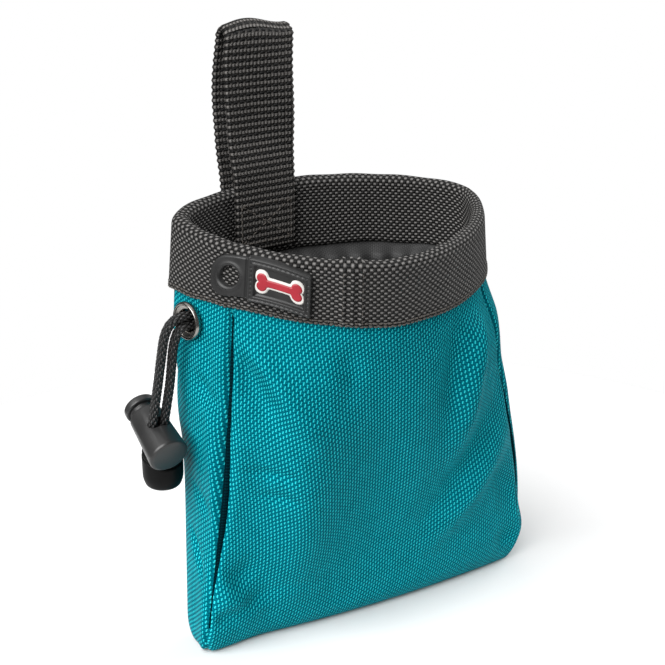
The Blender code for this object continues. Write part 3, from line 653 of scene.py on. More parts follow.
def body_cloth():
    """The front, the underside and the back in one length of nylon."""
    wall = wall_heights(90, 10)
    front = panel_grid(0, wall, PANEL_COLUMNS)
    back = panel_grid(2, wall[::-1], PANEL_COLUMNS, flip=True)
    under = [front[-1] + (back[0] - front[-1]) * k for k in np.linspace(0, 1, 8)[1:-1]]
    points = np.concatenate([front, np.array(under), back])
    z = np.concatenate([wall, np.zeros(len(under)), wall[::-1]])[:, None]
    u, edge, down = panel_measure(points)
    rows = np.arange(len(points))[:, None]
    is_front = rows < len(wall)
    is_back = rows >= len(wall) + len(under)
    folds = is_front * fold_lift(u, z, FRONT_FOLDS) + is_back * fold_lift(u, z, BACK_FOLDS)
    pin = smoothstep(edge / 0.006) * smoothstep((0.135 - z) / 0.018) * smoothstep(z / 0.006)
    lift = seam_groove(edge, z) + pin * folds
    points = points + grid_normals(points) * lift[..., None]
    mesh = panel_mesh("body_cloth", points, u, down)
    solidify(make_piece("body_cloth", mesh, "nylon", ["body_panel"]), CLOTH)


def pierce(mesh, centre, radius):
    """Take out the faces round a point, for an eyelet's hole."""
    shape = bmesh.new()
    shape.from_mesh(mesh)
    inside = [f for f in shape.faces if (f.calc_center_median() - centre).length < radius]
    bmesh.ops.delete(shape, geom=inside, context="FACES")
    shape.to_mesh(mesh)
    shape.free()


def gusset_cloth(name, first, node, folds):
    """A side panel, from the corner seam at first on the perimeter."""
    wall = wall_heights(70, 7)
    points = panel_grid(first, wall, GUSSET_COLUMNS)
    z = wall[:, None]
    u, edge, down = panel_measure(points)
    pin = smoothstep(edge / 0.005) * smoothstep((0.135 - z) / 0.018)
    lift = seam_groove(edge, z) + pin * fold_lift(u, z, folds)
    points = points + grid_normals(points) * lift[..., None]
    mesh = panel_mesh(name, points, u, down)
    if node == "left_gusset":
        pierce(mesh, surface_frame(EYELET_S, EYELET_Z)[0], EYELET_HOLE + 0.0006)
    solidify(make_piece(name, mesh, "nylon", [node]), CLOTH)


def seam_shadow_strips():
    """Dark strips of painted shadow that show in the grooves of the four corner seams, wider where a seam
    gapes.
    """
    heights = np.linspace(0.134, 0.012, 130)
    turn = full_turn(10)
    uv = uv_grid(np.linspace(0, 0.004, len(turn) + 1), heights)
    for corner in range(4):
        name = f"seam_shadow_strips_{corner + 1}"
        rings = []
        for z in heights:
            origin, normal, along, _ = surface_frame(corner, z, SEAM_INSET)
            radius = 0.00075 + 0.00060 * float(seam_gape(z))
            rings.append([origin + radius * (normal * math.cos(a) + along * math.sin(a)) for a in turn])
        grid = fill_out(np.array([[list(p) for p in ring] for ring in rings]))
        mesh = grid_mesh(name, grid, uv, wrap_columns=True)
        weld(mesh, fill=True)
        make_piece(name, mesh, "seam_shadow_cloth")


def lining_cloth():
    """The dark inner bag, gathered a little at the drawstring."""
    heights = np.concatenate([np.linspace(0.1560, 0.1350, 12), np.linspace(0.1342, 0.1315, 5),
                              np.linspace(0.129, 0.010, 70)])
    s = np.linspace(0, 4, 361)
    low = np.clip((0.1347 - heights) / 0.0032, 0, 1)[:, None]
    inset = 0.0021 + 0.0048 * low
    gathers = 11
    ripple = low * 0.0007 * np.sin(2 * math.pi * s * gathers + 1.3 * np.sin(2 * math.pi * s))[None, :]
    ripple = ripple * np.exp(-((heights[:, None] - 0.127) / 0.030) ** 2)
    points = section_point(s[None, :], heights[:, None], inset + ripple)
    floor = section_point(s[None, :], np.full((1, 1), 0.006), 0.0095)
    floor[..., 2] = 0.0030
    centre = floor * np.array([0.6, 0.2, 1.0])
    points = np.concatenate([points, floor, centre])
    uv = np.stack([np.broadcast_to(s * 0.075, points.shape[:2]), lengths(points)], -1)
    mesh = grid_mesh("lining_cloth", points, uv)
    mesh.flip_normals()
    solidify(make_piece("lining_cloth", mesh, "lining", ["lining"]), 0.0005, offset=1.0)


# --- webbing band ----------------------------------------------------------------------------------
def band_low(s):
    """Height of the webbing's lower edge outside."""
    away = ((np.asarray(s, float) + 2.0) % 4.0 - 2.0) / BAND_LIFT_REACH
    ripple = 0.0003 * np.sin(9.0 * s) + 0.0002 * np.sin(23.0 * s)
    return HEIGHT - BAND_WIDTH + BAND_LIFT * np.exp(-away ** 2) + ripple


def band_profile():
    """The folded webbing's middle line as (inset, z), from the outer edge over the rim to the inner edge."""
    low = HEIGHT - BAND_WIDTH
    outer, inner = -0.00105, 0.00315
    middle, radius = 0.5 * (outer + inner), 0.5 * (inner - outer)
    shoulder = HEIGHT - 0.0007 - radius
    arc = np.radians(np.linspace(180, 0, 17))
    leg = np.linspace(low + 0.0003, shoulder, 32)[:-1]
    return np.concatenate([np.stack([np.full_like(leg, outer), leg], -1),
                           np.stack([middle + radius * np.cos(arc), shoulder + radius * np.sin(arc)], -1),
                           np.stack([np.full_like(leg, inner), leg[::-1]], -1)])


def band_height(s, z):
    """Heights on the band, pressed together where the webbing is folded short."""
    fixed = 0.004
    low = HEIGHT - BAND_WIDTH
    return z + (band_low(s) - low) * np.clip((HEIGHT - fixed - z) / (BAND_WIDTH - fixed), 0.0, 1.0)


def lap_mask(s):
    """Where the band's end lies over its start, at the middle of the front."""
    distance = np.abs((np.asarray(s) - LAP_S + 2) % 4 - 2)
    return smoothstep((LAP_HALF - distance) / 0.010)


def mouth_band():
    """The webbing folded over the rim, raised and ribbed where its end lies over its start."""
    line = band_profile()
    outward = side_normals(line)
    run = lengths(line)
    half = rounded_end(np.minimum(run, run[-1] - run), 0.00065, 0.00065)
    s = np.concatenate([np.linspace(0, 0.25, 64)[:-1], np.linspace(0.25, 0.45, 121)[:-1],
                        np.linspace(0.45, 4, 700)])
    u = lengths(section_point(s, BAND_FACE_Z, BAND_FACE))
    cells = round(u[-1] / WEBBING_PITCH[1] / 2) * 2
    u_cloth = u * cells * WEBBING_PITCH[1] / u[-1]
    lap = lap_mask(s) * (0.0006 + 0.00034 * np.sin(2 * math.pi * u / LAP_RIB))
    wave = 0.00022 * np.sin(2 * math.pi * u / 0.031) * np.sin(2 * math.pi * u / 0.047 + 1.0)
    skins = []
    for sign in (1, -1):
        path = line + outward * (sign * half)[:, None]
        extra = (lap * (sign > 0) + wave)[None, :]
        inset = path[:, 0][:, None] + outward[:, 0][:, None] * extra
        z = path[:, 1][:, None] + outward[:, 1][:, None] * extra
        skins.append(section_point(s[None, :], band_height(s[None, :], z), inset))
    points = np.concatenate([skins[0], skins[1][::-1]])
    rows = np.concatenate([run, run[::-1] + 0.06])
    uv = uv_grid(u_cloth, np.concatenate([rows, [rows[-1] + 0.001]]))
    mesh = grid_mesh("mouth_band", points, uv, wrap_rows=True)
    weld(mesh)
    make_piece("mouth_band", mesh, "webbing", ["mouth_binding"])


# --- belt loop -------------------------------------------------------------------------------------
def loop_frame():
    """Frame at the back wall, under the loop's middle: X along the wall, Y outwards, Z up."""
    places = np.linspace(2.0, 3.0, 401)
    xs = section_point(places, HEIGHT)[:, 0]
    s = float(places[np.argmin(np.abs(xs - LOOP_X))])
    wall = Vector(section_point(s, HEIGHT).tolist())
    a, b = section_point(s - 0.08, HEIGHT), section_point(s + 0.08, HEIGHT)
    along = Vector((a[0] - b[0], a[1] - b[1], 0)).normalized()
    return frame_matrix(wall, along, Vector((0, 0, 1)).cross(along), Vector((0, 0, 1)))


def loop_route(matrix):
    """The loop's middle line as (depth, height), from the inner tail over the top to the outer tail."""
    half = 0.0009
    front = -LOOP_INSIDE - half
    rear = LOOP_OUTSIDE + half
    sewn = rear + 0.0004
    top = LOOP_TOP + LOOP_RISE - matrix.translation.z
    bend = 0.5 * (rear - front)
    middle = 0.5 * (rear + front)
    turn_z = top - half - bend
    route = [(front, -LOOP_TAIL), (front, -0.010), (front, 0.004), (front, 0.5 * top), (front, turn_z)]
    for a in (150, 120, 90, 60, 30):
        angle = math.radians(a)
        route.append((middle + bend * math.cos(angle), turn_z + bend * math.sin(angle)))
    route += [(rear, turn_z), (rear + LOOP_BOW, 0.5 * top), (rear + 0.2 * LOOP_BOW, 0.006), (sewn, -0.008),
              (sewn, -LOOP_TAIL)]
    return smooth_route([Vector((0, y, z)) for y, z in route], 0.0005)[:, 1:]


def belt_strap():
    """The loop of webbing, with finely toothed edges and a slight wave in its free part."""
    matrix = loop_frame()
    line = loop_route(matrix)
    normal = side_normals(line)
    run = lengths(line)
    end = np.minimum(run, run[-1] - run)
    half = rounded_end(end, 0.00095, 0.0009)
    wide = np.linspace(-1, 1, 27)
    side = np.sign(wide) * np.abs(wide) ** 0.85
    left = 0.5 * (1 - side[None, :])
    serration = 0.00030 * np.sin(math.pi * run / STRAP_PITCH[1])
    drift = 0.0005 * np.sin(run / 0.013 + 0.6) + 0.0003 * np.sin(run / 0.0061)
    free = smoothstep((end - 0.022) / 0.02)
    below_top = line[:, 1].max() - line[:, 1]
    crest = smoothstep((0.008 - below_top) / 0.008)[:, None] * np.cos(math.pi * (side[None, :] + 0.25))
    front_leg = smoothstep((run - LOOP_TAIL - 0.004) / 0.016) * smoothstep((0.0035 - line[:, 0]) / 0.009)
    turn = LOOP_TURN * front_leg[:, None] * left
    rounding = np.sqrt(np.clip(1 - np.clip((np.abs(side) - 0.93) / 0.07, 0, 1) ** 2, 0.05, 1))
    ripple = free[:, None] * 0.0005 * np.sin(run[:, None] / 0.010 + 2.2 * side[None, :])
    x = side[None, :] * (0.5 * LOOP_WIDTH + serration[:, None]) + (free * drift)[:, None]
    x = x - LOOP_SPREAD * free[:, None] * left
    skins = []
    for sign in (1, -1):
        thick = (sign * half)[:, None] * rounding[None, :] + ripple
        y = line[:, 0][:, None] + normal[:, 0][:, None] * thick + turn
        z = line[:, 1][:, None] + normal[:, 1][:, None] * thick + LOOP_CREST * crest
        skins.append(np.stack([x, y, z], -1))
    ring = np.concatenate([skins[0], skins[1][:, ::-1]], axis=1)
    flat = side * 0.5 * LOOP_WIDTH
    flat = np.concatenate([flat, -flat + 0.03 * STRAP_PITCH[0]])
    uv = uv_grid(np.concatenate([flat, [flat[-1] + 0.0005]]), run)
    mesh = grid_mesh("belt_strap", ring, uv, wrap_columns=True)
    mesh.transform(matrix)
    weld(mesh, fill=True)
    make_piece("belt_strap", mesh, "strap", ["belt_loop"])


# --- badge -----------------------------------------------------------------------------------------
def band_table():
    """Perimeter places against length along the band's outer face, from the front left seam."""
    places = np.linspace(-0.6, 1.2, 721)
    length = lengths(section_point(np.mod(places, 4), BAND_FACE_Z, BAND_FACE))
    return places, length - np.interp(0.0, places, length)


BAND_PLACES, BAND_LENGTH = band_table()


def band_point(u, z, lift):
    """A point u along the band from the front left seam, lift metres off its face."""
    s = np.mod(np.interp(u, BAND_LENGTH, BAND_PLACES), 4)
    return section_point(s, z, BAND_FACE - lift)


def badge_middle(u):
    """Height of the label's middle line."""
    return BADGE_CREST[1] - BADGE_ARCH * (u - BADGE_CREST[0]) ** 2


def box_distance(u, v, centre, half, corner):
    """Distance to a rectangle with rounded corners, negative inside."""
    a = np.abs(u - centre[0]) - half[0] + corner
    b = np.abs(v - centre[1]) - half[1] + corner
    return np.hypot(np.maximum(a, 0), np.maximum(b, 0)) + np.minimum(np.maximum(a, b), 0) - corner


def bone_distance(u, v, length, waist, knob):
    """Distance to a bone: a bar with two knobs at each end, negative inside."""
    bar = box_distance(u, v, (0, 0), (length, waist), 0.0)
    x, y = np.abs(u), np.abs(v)
    ends = np.hypot(x - length, y - 0.82 * knob) - knob
    blend = 0.0007
    h = np.clip(0.5 + 0.5 * (ends - bar) / blend, 0, 1)
    return ends * (1 - h) + bar * h - blend * h * (1 - h)


def relief(name, span, cell, distance, height, floor, material, nodes):
    """A raised shape on the band: a height for each place, bounded by where distance is zero."""
    u, v = np.meshgrid(np.arange(span[0], span[1] + cell, cell), np.arange(span[2], span[3] + cell, cell))
    step = 1e-5
    for _ in range(2):
        d = distance(u, v)
        du = (distance(u + step, v) - distance(u - step, v)) / (2 * step)
        dv = (distance(u, v + step) - distance(u, v - step)) / (2 * step)
        snap = np.where(np.abs(d) < 0.55 * cell, d, 0.0) / np.maximum(du * du + dv * dv, 0.2)
        u, v = u - snap * du, v - snap * dv
    d = distance(u, v)
    outside = 0.05 * cell
    lift = np.where(d > outside, floor, height(u, v, d))
    points = band_point(u, badge_middle(u) + v, lift)
    rows, columns = u.shape
    corner = np.arange(rows * columns).reshape(rows, columns)
    faces = np.stack([corner[:-1, :-1], corner[:-1, 1:], corner[1:, 1:], corner[1:, :-1]], -1)
    faces = faces.reshape(-1, 4)
    faces = faces[(d.ravel()[faces] < outside).any(1)]
    used, index = np.unique(faces, return_inverse=True)
    flat = np.stack([u, v], -1).reshape(-1, 2)
    mesh = uv_mesh(name, points.reshape(-1, 3)[used], index.reshape(-1, 4), flat[faces.ravel()])
    mesh.set_sharp_from_angle(angle=math.radians(55))
    make_piece(name, mesh, material, nodes)


def badge_distance(u, v):
    """Distance to the label's outline, with its round end and its hole."""
    half = BADGE_HALF_HEIGHT
    middle = 0.5 * (PLATE[0] - 0.0012 + PLATE[1])
    plate = box_distance(u, v, (middle, 0.0), (PLATE[1] - middle, half), BADGE_CORNER)
    t = np.clip((u - BADGE_START) / (PLATE[0] - BADGE_START), 0.0, 1.2)
    overlap, tab_round = 0.004, 0.0062
    tab_middle = 0.5 * (BADGE_START + PLATE[0] + overlap)
    tab_half = (0.5 * (PLATE[0] + overlap - BADGE_START), half - 0.0004 - 0.0003 * t)
    tab = box_distance(u, v, (tab_middle, 0.0), tab_half, tab_round)
    hole = BADGE_HOLE - np.hypot((u - BADGE_HOLE_U) * 0.98, v)
    return np.maximum(np.minimum(plate, tab), hole)


def badge_height(u, v, d):
    """The label's face: rounded edges, a raised frame with a dashed groove, and a sunk panel."""
    middle = 0.5 * (PLATE[0] + PLATE[1])
    frame_d = box_distance(u, v, (middle, 0.0), (PLATE[1] - middle, BADGE_HALF_HEIGHT), BADGE_CORNER)
    round_off = 0.0005 * (1 - np.sqrt(np.clip(1 - (1 - np.clip(-d / 0.0006, 0, 1)) ** 2, 0, 1)))
    frame_rise = smoothstep((-frame_d + 0.0001) / 0.0004) * (1 - smoothstep((-frame_d - 0.0021) / 0.0005))
    around = np.where(np.abs(v) > BADGE_HALF_HEIGHT - 0.0022, u, v)
    dashes = 0.45 + 0.55 * smoothstep(0.5 + 1.6 * np.cos(2 * math.pi * around / 0.00155))
    groove = 0.0004 * np.exp(-((frame_d + 0.0012) / 0.00028) ** 2) * dashes
    panel = 0.0002 * smoothstep((-frame_d - 0.0026) / 0.0005)
    ridge = 0.0005 * np.exp(-((u - PLATE[0] + 0.0010) / 0.00035) ** 2)
    from_hole = np.hypot(u - BADGE_HOLE_U, v) - BADGE_HOLE
    hole_lip = 0.0003 * np.exp(-((from_hole - 0.0009) / 0.0006) ** 2)
    return BADGE_TOP + 0.0011 * frame_rise - groove - panel - ridge + hole_lip - round_off


def badge():
    high = BADGE_HALF_HEIGHT + 0.0003
    relief("badge_label", (BADGE_START - 0.0002, BADGE_END + 0.0002, -high, high), 0.00017, badge_distance,
           badge_height, -0.0002, "rubber", ["badge_patch", "badge_frame"])
    middle = 0.5 * sum(PLATE)
    face = BADGE_TOP - 0.0002
    area = (middle - 0.0088, middle + 0.0088, -0.0046, 0.0046)

    def inlay(name, length, waist, knob, top, material, nodes):
        def distance(u, v):
            return bone_distance(u - middle, v, length, waist, knob)

        def height(u, v, d):
            return face + top - 0.0003 * (1 - smoothstep(-d / 0.0004))

        relief(name, area, 0.00013, distance, height, face - 0.0003, material, nodes)

    inlay("bone_border", 0.0060, 0.0020, 0.00235, 0.0005, "cream", [])
    inlay("bone", 0.0058, 0.0013, 0.00175, 0.0008, "emblem", ["badge_emblem"])


# --- stitches --------------------------------------------------------------------------------------
STITCH_RADIUS = 0.00028
STITCH_RINGS = 7
STITCH_SIDES = 6


def stitch_mesh(name, stitches):
    """Short thread loops: each stitch is given by its two ends and the outward direction."""
    vertices, faces = [], []
    for a, b, out in stitches:
        axis = (b - a) / np.linalg.norm(b - a)
        side = np.cross(axis, out)
        side /= np.linalg.norm(side)
        up = np.cross(side, axis)
        first = len(vertices)
        for k in np.linspace(0, 1, STITCH_RINGS):
            size = STITCH_RADIUS * math.sqrt(max(0.06, 1 - (2 * k - 1) ** 6))
            centre = a + (b - a) * k + up * STITCH_RADIUS * 0.9 * (math.sin(math.pi * k) - 0.55)
            for angle in full_turn(STITCH_SIDES):
                vertices.append(centre + size * (side * math.cos(angle) + up * math.sin(angle)))
        for ring in range(STITCH_RINGS - 1):
            low = first + ring * STITCH_SIDES
            for j in range(STITCH_SIDES):
                k = (j + 1) % STITCH_SIDES
                faces.append((low + j, low + k, low + STITCH_SIDES + k, low + STITCH_SIDES + j))
        last = first + (STITCH_RINGS - 1) * STITCH_SIDES
        faces.append(tuple(first + j for j in reversed(range(STITCH_SIDES))))
        faces.append(tuple(last + j for j in range(STITCH_SIDES)))
    mesh = bpy.data.meshes.new(name)
    mesh.from_pydata([tuple(v) for v in vertices], [], faces)
    mesh.shade_smooth()
    return mesh


def stitches_along(points, normals, pitch, gap):
    """Stitches of one pitch along a line of points."""
    run = lengths(points)
    count = max(1, round(run[-1] / pitch))
    pitch = run[-1] / count
    marks = []
    for k in range(count):
        ends = [k * pitch + 0.5 * gap, (k + 1) * pitch - 0.5 * gap]
        a, b = (np.array([np.interp(e, run, points[:, c]) for c in range(3)]) for e in ends)
        out = np.array([np.interp(sum(ends) / 2, run, normals[:, c]) for c in range(3)])
        marks.append((a, b, out))
    return marks


def band_line(s, z, lift):
    """Points and outward directions along a line on the band's face."""
    step = 0.001
    height = band_height(s, z)
    low = section_point(s, height, BAND_FACE - lift)
    high = section_point(s, height, BAND_FACE - lift - step)
    return low, (high - low) / step


def band_stitches():
    """Two rows along the band's lower edge, and a row across each end of its lap."""
    rows = []
    s = np.linspace(0, 4, 1201)
    lap_lift = 0.0006
    for z in (0.1357, 0.1370):
        rows += stitches_along(*band_line(s, np.full_like(s, z), lap_lift * lap_mask(s)), 0.0017, 0.0003)
    z = np.linspace(0.1365, 0.1572, 40)
    for side in (-1, 1):
        place = LAP_S + side * (LAP_HALF - 0.018)
        rows += stitches_along(*band_line(np.full_like(z, place), z, lap_lift), 0.0026, 0.0006)
    make_piece("band_stitches", stitch_mesh("band_stitches", rows), "thread")


def loop_stitches():
    """A box with a cross through both tails of the loop, seen on either side."""
    matrix = np.array(loop_frame())
    rows = []
    half = 0.5 * LOOP_WIDTH - 0.0022
    top, low = -0.0060, -0.0205
    corners = [(-half, top), (half, top), (half, low), (-half, low), (-half, top), (half, low), (half, top),
               (-half, low)]
    webbing = 0.0018
    for face, out in ((LOOP_OUTSIDE + webbing + 0.0004, 1.0), (-LOOP_INSIDE - webbing, -1.0)):
        for (xa, za), (xb, zb) in zip(corners, corners[1:]):
            k = np.linspace(0, 1, 30)[:, None]
            line = np.array([xa, face, za]) * (1 - k) + np.array([xb, face, zb]) * k
            line = line @ matrix[:3, :3].T + matrix[:3, 3]
            normal = np.tile(matrix[:3, 1] * out, (30, 1))
            rows += stitches_along(line, normal, 0.0026, 0.0006)
    make_piece("loop_stitches", stitch_mesh("loop_stitches", rows), "thread")


# --- cord ------------------------------------------------------------------------------------------
def eyelet_frame():
    """At the eyelet's centre on the fabric: Z outwards, X towards the front, Y up the wall."""
    origin, normal, _, _ = surface_frame(EYELET_S, EYELET_Z)
    level = Vector((normal.x, normal.y, 0.0)).normalized()
    side = Vector((0, 0, 1)).cross(level)
    return frame_matrix(origin, side, level.cross(side), level)


# the two strands' routes, from the eyelet through the lock to the cord end
OUTER_STRAND = [(-0.0720, -0.0021, 0.1294), (-0.0745, -0.0020, 0.1288),
                (-0.0768, -0.0015, 0.1266), (-0.0783, -0.0006, 0.1224), (-0.0793, 0.0002, 0.1155),
                (-0.0805, 0.0009, 0.1065), (-0.0818, 0.0013, 0.0984), (-0.0827, 0.0015, 0.0928),
                (-0.0830, 0.0020, 0.0898), (-0.0830, 0.0042, 0.0851), (-0.0830, 0.0063, 0.0805),
                (-0.0815, 0.0069, 0.0777), (-0.0801, 0.0067, 0.0749), (-0.0797, 0.0065, 0.0722)]
INNER_STRAND = [(-0.0715, -0.0021, 0.1258), (-0.0731, -0.0020, 0.1250),
                (-0.0743, -0.0015, 0.1226), (-0.0751, -0.0006, 0.1183), (-0.0756, 0.0002, 0.1120),
                (-0.0763, 0.0009, 0.1045), (-0.0774, 0.0013, 0.0976), (-0.0783, 0.0015, 0.0926),
                (-0.0786, 0.0020, 0.0898), (-0.0786, 0.0042, 0.0851), (-0.0786, 0.0063, 0.0805),
                (-0.0777, 0.0069, 0.0777), (-0.0765, 0.0067, 0.0749), (-0.0762, 0.0065, 0.0722)]


def side_frames(tangent):
    """Two directions across a line at each of its points, turning as little as they can."""
    side = np.cross(tangent[0], [0.0, 0.0, 1.0])
    sides = []
    for t in tangent:
        side = side - t * (side @ t)
        side /= np.linalg.norm(side)
        sides.append(side)
    sides = np.array(sides)
    return sides, np.cross(tangent, sides)


def braided_tube(name, route, radius, nodes):
    """Braided cord: a tube whose surface rises and falls with two sets of strands wound opposite ways."""
    pitch, strands, around = 0.0050, 6, 48
    line = smooth_route(route, 0.00022)
    run = lengths(line)
    a, b = (side[:, None] for side in side_frames(tangents(line)))
    angle = full_turn(around)
    turn = strands * angle[None, :] / (2 * math.pi)
    along = run[:, None] / pitch * 2.0
    one, two = turn + along, turn - along
    over = np.cos(math.pi * np.floor(one)) * np.cos(math.pi * np.floor(two))
    ridge_one = np.sqrt(np.abs(np.sin(math.pi * one)))
    ridge_two = np.sqrt(np.abs(np.sin(math.pi * two)))
    height = np.where(over > 0, ridge_one, ridge_two) * (0.55 + 0.45 * ridge_one * ridge_two)
    size = radius * (0.80 + 0.24 * height)
    ring = a * np.cos(angle)[None, :, None] + b * np.sin(angle)[None, :, None]
    uv = uv_grid(np.linspace(0, 1, around + 1), run / pitch * 2.0)
    mesh = grid_mesh(name, line[:, None] + size[..., None] * ring, uv, wrap_columns=True)
    weld(mesh, fill=True)
    return make_piece(name, mesh, "cord", nodes, "hanging_cord"), line


def hanging_strands(on_cord):
    matrix = eyelet_frame()
    for name, route, up in (("cord_strand_outer", OUTER_STRAND, CORD_SPREAD),
                            ("cord_strand_inner", INNER_STRAND, -CORD_SPREAD)):
        inside = [matrix @ Vector((0.0, up, -0.0048)), matrix @ Vector((0.0, up, 0.0015))]
        points = inside + [Vector(p) for p in route]
        piece, line = braided_tube(name + "_braid", points, CORD_RADIUS, [name])


# --- turned pieces ---------------------------------------------------------------------------------
ARC_POINTS = 5


def rounded(profile, radius):
    """A profile with each inner corner replaced by a short arc."""
    points = [np.array(p, float) for p in profile]
    out = [points[0]]
    for a, b, c in zip(points, points[1:], points[2:]):
        reach = min(radius, 0.45 * np.linalg.norm(a - b), 0.45 * np.linalg.norm(c - b))
        start = b + (a - b) / np.linalg.norm(a - b) * reach
        end = b + (c - b) / np.linalg.norm(c - b) * reach
        for k in np.linspace(0, 1, ARC_POINTS):
            out.append((1 - k) ** 2 * start + 2 * k * (1 - k) * b + k * k * end)
    out.append(points[-1])
    return out


def turned(name, profile, matrix, material, node, body, corner):
    """A turned piece from a profile of (radius, height) down its outer side, closed if it has a bore."""
    steps = 80
    closed = profile[0][0] > 0
    points = rounded(list(profile) + ([profile[0], profile[1]] if closed else []), corner)
    if closed:
        points = points[ARC_POINTS + 1:-1]
    grid = np.array([[(r * math.cos(a), r * math.sin(a), h) for a in full_turn(steps)] for r, h in points])
    uv = uv_grid(np.linspace(0, 1, steps + 1), np.linspace(0, 1, len(grid) + 1))
    mesh = grid_mesh(name, grid, uv, wrap_columns=True, wrap_rows=closed)
    mesh.transform(matrix)
    weld(mesh)
    mesh.set_sharp_from_angle(angle=math.radians(50))
    return make_piece(name, mesh, material, [node], body)


def cut_slot(piece, matrix, reach, extra=0.0):
    """Cut a slot with round ends right through a piece along its Y, taller by extra."""
    half = SLOT_HALF_HEIGHT
    high = half + extra
    centre = 0.5 * (high - half)
    stretch = 0.5 * (high + half) / half
    straight = SLOT_HALF_WIDTH - half
    outline = []
    for start, x in ((-90, straight), (90, -straight)):
        for a in range(start, start + 181, 15):
            angle = math.radians(a)
            outline.append((x + half * math.cos(angle), half * math.sin(angle)))
    grid = np.array([[(x, y, centre + z * stretch) for x, z in outline] for y in (-reach, reach)])
    mesh = grid_mesh("slot", grid, uv_grid(np.linspace(0, 1, len(outline) + 1), [0, 1]), wrap_columns=True)
    mesh.transform(matrix)
    weld(mesh, fill=True)
    cutter = add_object("slot", mesh)
    boolean = piece.modifiers.new("slot", "BOOLEAN")
    boolean.operation = "DIFFERENCE"
    boolean.solver = "EXACT"
    boolean.object = cutter
    soft = piece.modifiers.new("edges", "BEVEL")
    soft.width = 0.00022
    soft.segments = 2
    soft.angle_limit = math.radians(50)
    bpy.context.view_layer.update()
    shaped = bpy.data.meshes.new_from_object(piece.evaluated_get(bpy.context.evaluated_depsgraph_get()))
    piece.modifiers.clear()
    piece.data = shaped
    shaped.shade_smooth()
    shaped.set_sharp_from_angle(angle=math.radians(40))
    bpy.data.objects.remove(cutter, do_unlink=True)


def lock_frame():
    """At the lock's slot: Z along the barrel towards the plunger, Y the way that the cords pass up."""
    level = math.cos(LOCK_YAW) * math.cos(LOCK_TILT)
    forward = Vector((math.sin(LOCK_YAW), -level, -math.sin(LOCK_TILT)))
    axis = -forward.normalized()
    side = Vector((0, 0, 1)).cross(axis).normalized()
    return frame_matrix(LOCK_CENTRE, side, axis.cross(side), axis)


def cord_lock():
    """The flared barrel and its plunger, both slotted for the cords."""
    matrix = lock_frame()
    r, wide, bore = LOCK_RADIUS, LOCK_FLARE, LOCK_BORE
    profile = [(0.0, LOCK_BORE_END), (bore, LOCK_BORE_END), (bore, LOCK_MOUTH), (r - 0.0003, LOCK_MOUTH),
               (r, LOCK_MOUTH - 0.0005), (0.5 * (r + wide), -0.0010), (wide, -0.0102),
               (wide - 0.0003, -0.0109), (wide - 0.0006, -0.0110), (wide - 0.0012, -0.0112), (0.0, -0.0117)]
    barrel = turned("lock_body", profile, matrix, "plastic", "lock_barrel", "cord_lock", 0.00025)
    cut_slot(barrel, matrix, 0.012)
    stem, stem_end = 0.0045, -0.0050
    head = LOCK_MOUTH + LOCK_TRAVEL + 0.0003
    top = head + 0.0032
    profile = [(0.0, head + 0.0016), (0.0036, head + 0.0017), (0.0044, top), (r - 0.0006, top),
               (r, head + 0.0026), (r, head + 0.0004), (r - 0.0004, head), (stem, head), (stem, stem_end),
               (0.0, stem_end)]
    plunger = turned("lock_button", profile, matrix, "plastic", "lock_plunger", "plunger", 0.0004)
    cut_slot(plunger, matrix, 0.012, extra=LOCK_TRAVEL)
    return [barrel, plunger]


def cord_end():
    """The moulded cup and its slotted cap, whose top slopes along the barrel above it."""
    at = Matrix.Translation(CORD_END)
    r = CORD_END_RADIUS
    profile = [(0.0, 0.0014), (r - 0.0026, 0.0018), (r - 0.0013, 0.0036), (r - 0.0013, 0.0094),
               (r - 0.0002, 0.0094), (r, 0.0090), (r - 0.0001, 0.0042), (r - 0.0012, 0.0012),
               (r - 0.0034, 0.0001), (0.0, 0.0)]
    cup = turned("cord_bell", profile, at, "moulding", "cord_end_cup", "hanging_cord", 0.0012)
    profile = [(0.0, 0.0112), (r - 0.0014, 0.0112), (r - 0.0002, 0.0107), (r - 0.0001, 0.0098), (0.0, 0.0098)]
    cap = turned("cord_bell_cap", profile, at, "moulding", "cord_end_cap", "hanging_cord", 0.0005)
    upright = frame_matrix(CORD_END, Vector((1, 0, 0)), Vector((0, 0, 1)), Vector((0, -1, 0)))
    cut_slot(cap, upright, 0.020)
    slope_start, slope_reach = 0.0035, 0.0055
    for piece in (cup, cap):
        for vertex in piece.data.vertices:
            back = vertex.co.y - CORD_END.y + r
            share = float(smoothstep((vertex.co.z - CORD_END.z - slope_start) / slope_reach))
            vertex.co.z += CORD_END_SLOPE * back * share
    return [cup, cap]


def eyelet():
    """The domed ring outside, with the barrel that passes through the side panel."""
    r, hole, face, barrel_end = EYELET_RADIUS, EYELET_HOLE, 0.0010, -0.0021
    flange = [(hole + 0.0001, barrel_end), (hole + 0.0001, face + 0.0002), (hole + 0.0006, face + 0.0008),
              (r - 0.0014, face + 0.0012), (r - 0.0010, face + 0.0017), (r - 0.0005, face + 0.0017),
              (r, face + 0.0007), (r - 0.0003, face - 0.0005), (hole + 0.0009, face - 0.0008),
              (hole + 0.0006, barrel_end)]
    turned("eyelet_ring", flange, eyelet_frame(), "nickel", "eyelet_flange", "pouch", 0.0004)


def build_scene_pieces():
    seam_shadow_strips()
    hanging_strands(cord_lock() + cord_end())
    eyelet()
    body_cloth()
    gusset_cloth("gusset_cloth_left", 3, "left_gusset", GUSSET_FOLDS)
    gusset_cloth("gusset_cloth_right", 1, "right_gusset", RIGHT_FOLDS)
    lining_cloth()
    mouth_band()
    belt_strap()
    badge()
    band_stitches()
    loop_stitches()


# --- camera, light and floor -----------------------------------------------------------------------
FLOOR_RADIUS = 0.26
FLOOR_DROP = 0.0002


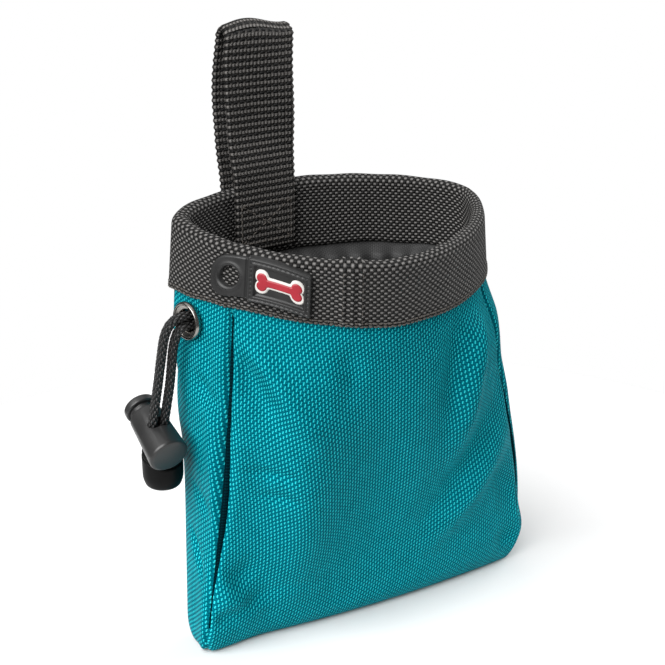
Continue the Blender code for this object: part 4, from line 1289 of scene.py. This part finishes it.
def camera():
    data = bpy.data.cameras.new("camera")
    data.sensor_width = 36.0
    data.lens = 80.37
    eye = add_object("camera", data)
    eye.location = (-0.2643, -0.4407, 0.3006)
    look = Vector((0.46608, 0.81333, -0.34823))
    eye.rotation_euler = look.to_track_quat("-Z", "Y").to_euler()
    bpy.context.scene.camera = eye


def sun_light(name, direction, strength, spread_degrees):
    """Soft light from far away in a direction."""
    data = bpy.data.lights.new(name, "SUN")
    data.energy = strength
    data.angle = math.radians(spread_degrees)
    lamp = add_object(name, data)
    lamp.rotation_euler = Vector(direction).to_track_quat("Z", "Y").to_euler()


def white_world(light, backdrop):
    """A white world that lights the scene less brightly than it shows behind it."""
    world = bpy.data.worlds.new("studio")
    bpy.context.scene.world = world
    world.use_nodes = True
    tree = world.node_tree
    background = tree.nodes["Background"]
    background.inputs["Color"].default_value = (1, 1, 1, 1)
    path = tree.nodes.new("ShaderNodeLightPath")
    strength = tree.nodes.new("ShaderNodeMapRange")
    strength.inputs["To Min"].default_value = light
    strength.inputs["To Max"].default_value = backdrop
    tree.links.new(path.outputs["Is Camera Ray"], strength.inputs["Value"])
    tree.links.new(strength.outputs[0], background.inputs["Strength"])


def paper_floor():
    mesh = bpy.data.meshes.new("floor")
    rim = [(FLOOR_RADIUS * math.cos(a), FLOOR_RADIUS * math.sin(a), 0.0) for a in full_turn(128)]
    mesh.from_pydata(rim, [], [list(range(len(rim)))])
    floor = add_object("floor", mesh)
    floor.location.z = -FLOOR_DROP
    paper = Nodes("paper").set(Base_Color=(0.75, 0.75, 0.75, 1), Roughness=0.9)
    mesh.materials.append(paper.material)


def studio():
    bpy.context.scene.view_settings.view_transform = "Standard"
    white_world(0.16, 1.0)
    sun_light("left_key", (-1.0, -0.38, 0.85), 5.4, 60)
    sun_light("right_key", (1.0, 0.00, 0.60), 2.2, 50)
    sun_light("top", (0.0, 0.3, 1.0), 0.6, 60)
    paper_floor()


materials = build_materials()
camera()
studio()
build_scene_pieces()
for node, material in (("eyelet_washer", "nickel"), ("lock_spring", "spring_steel"), ("drawstring", "cord"),
                       ("cord_knot", "cord")):
    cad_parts[node].data.materials.clear()
    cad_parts[node].data.materials.append(materials[material])
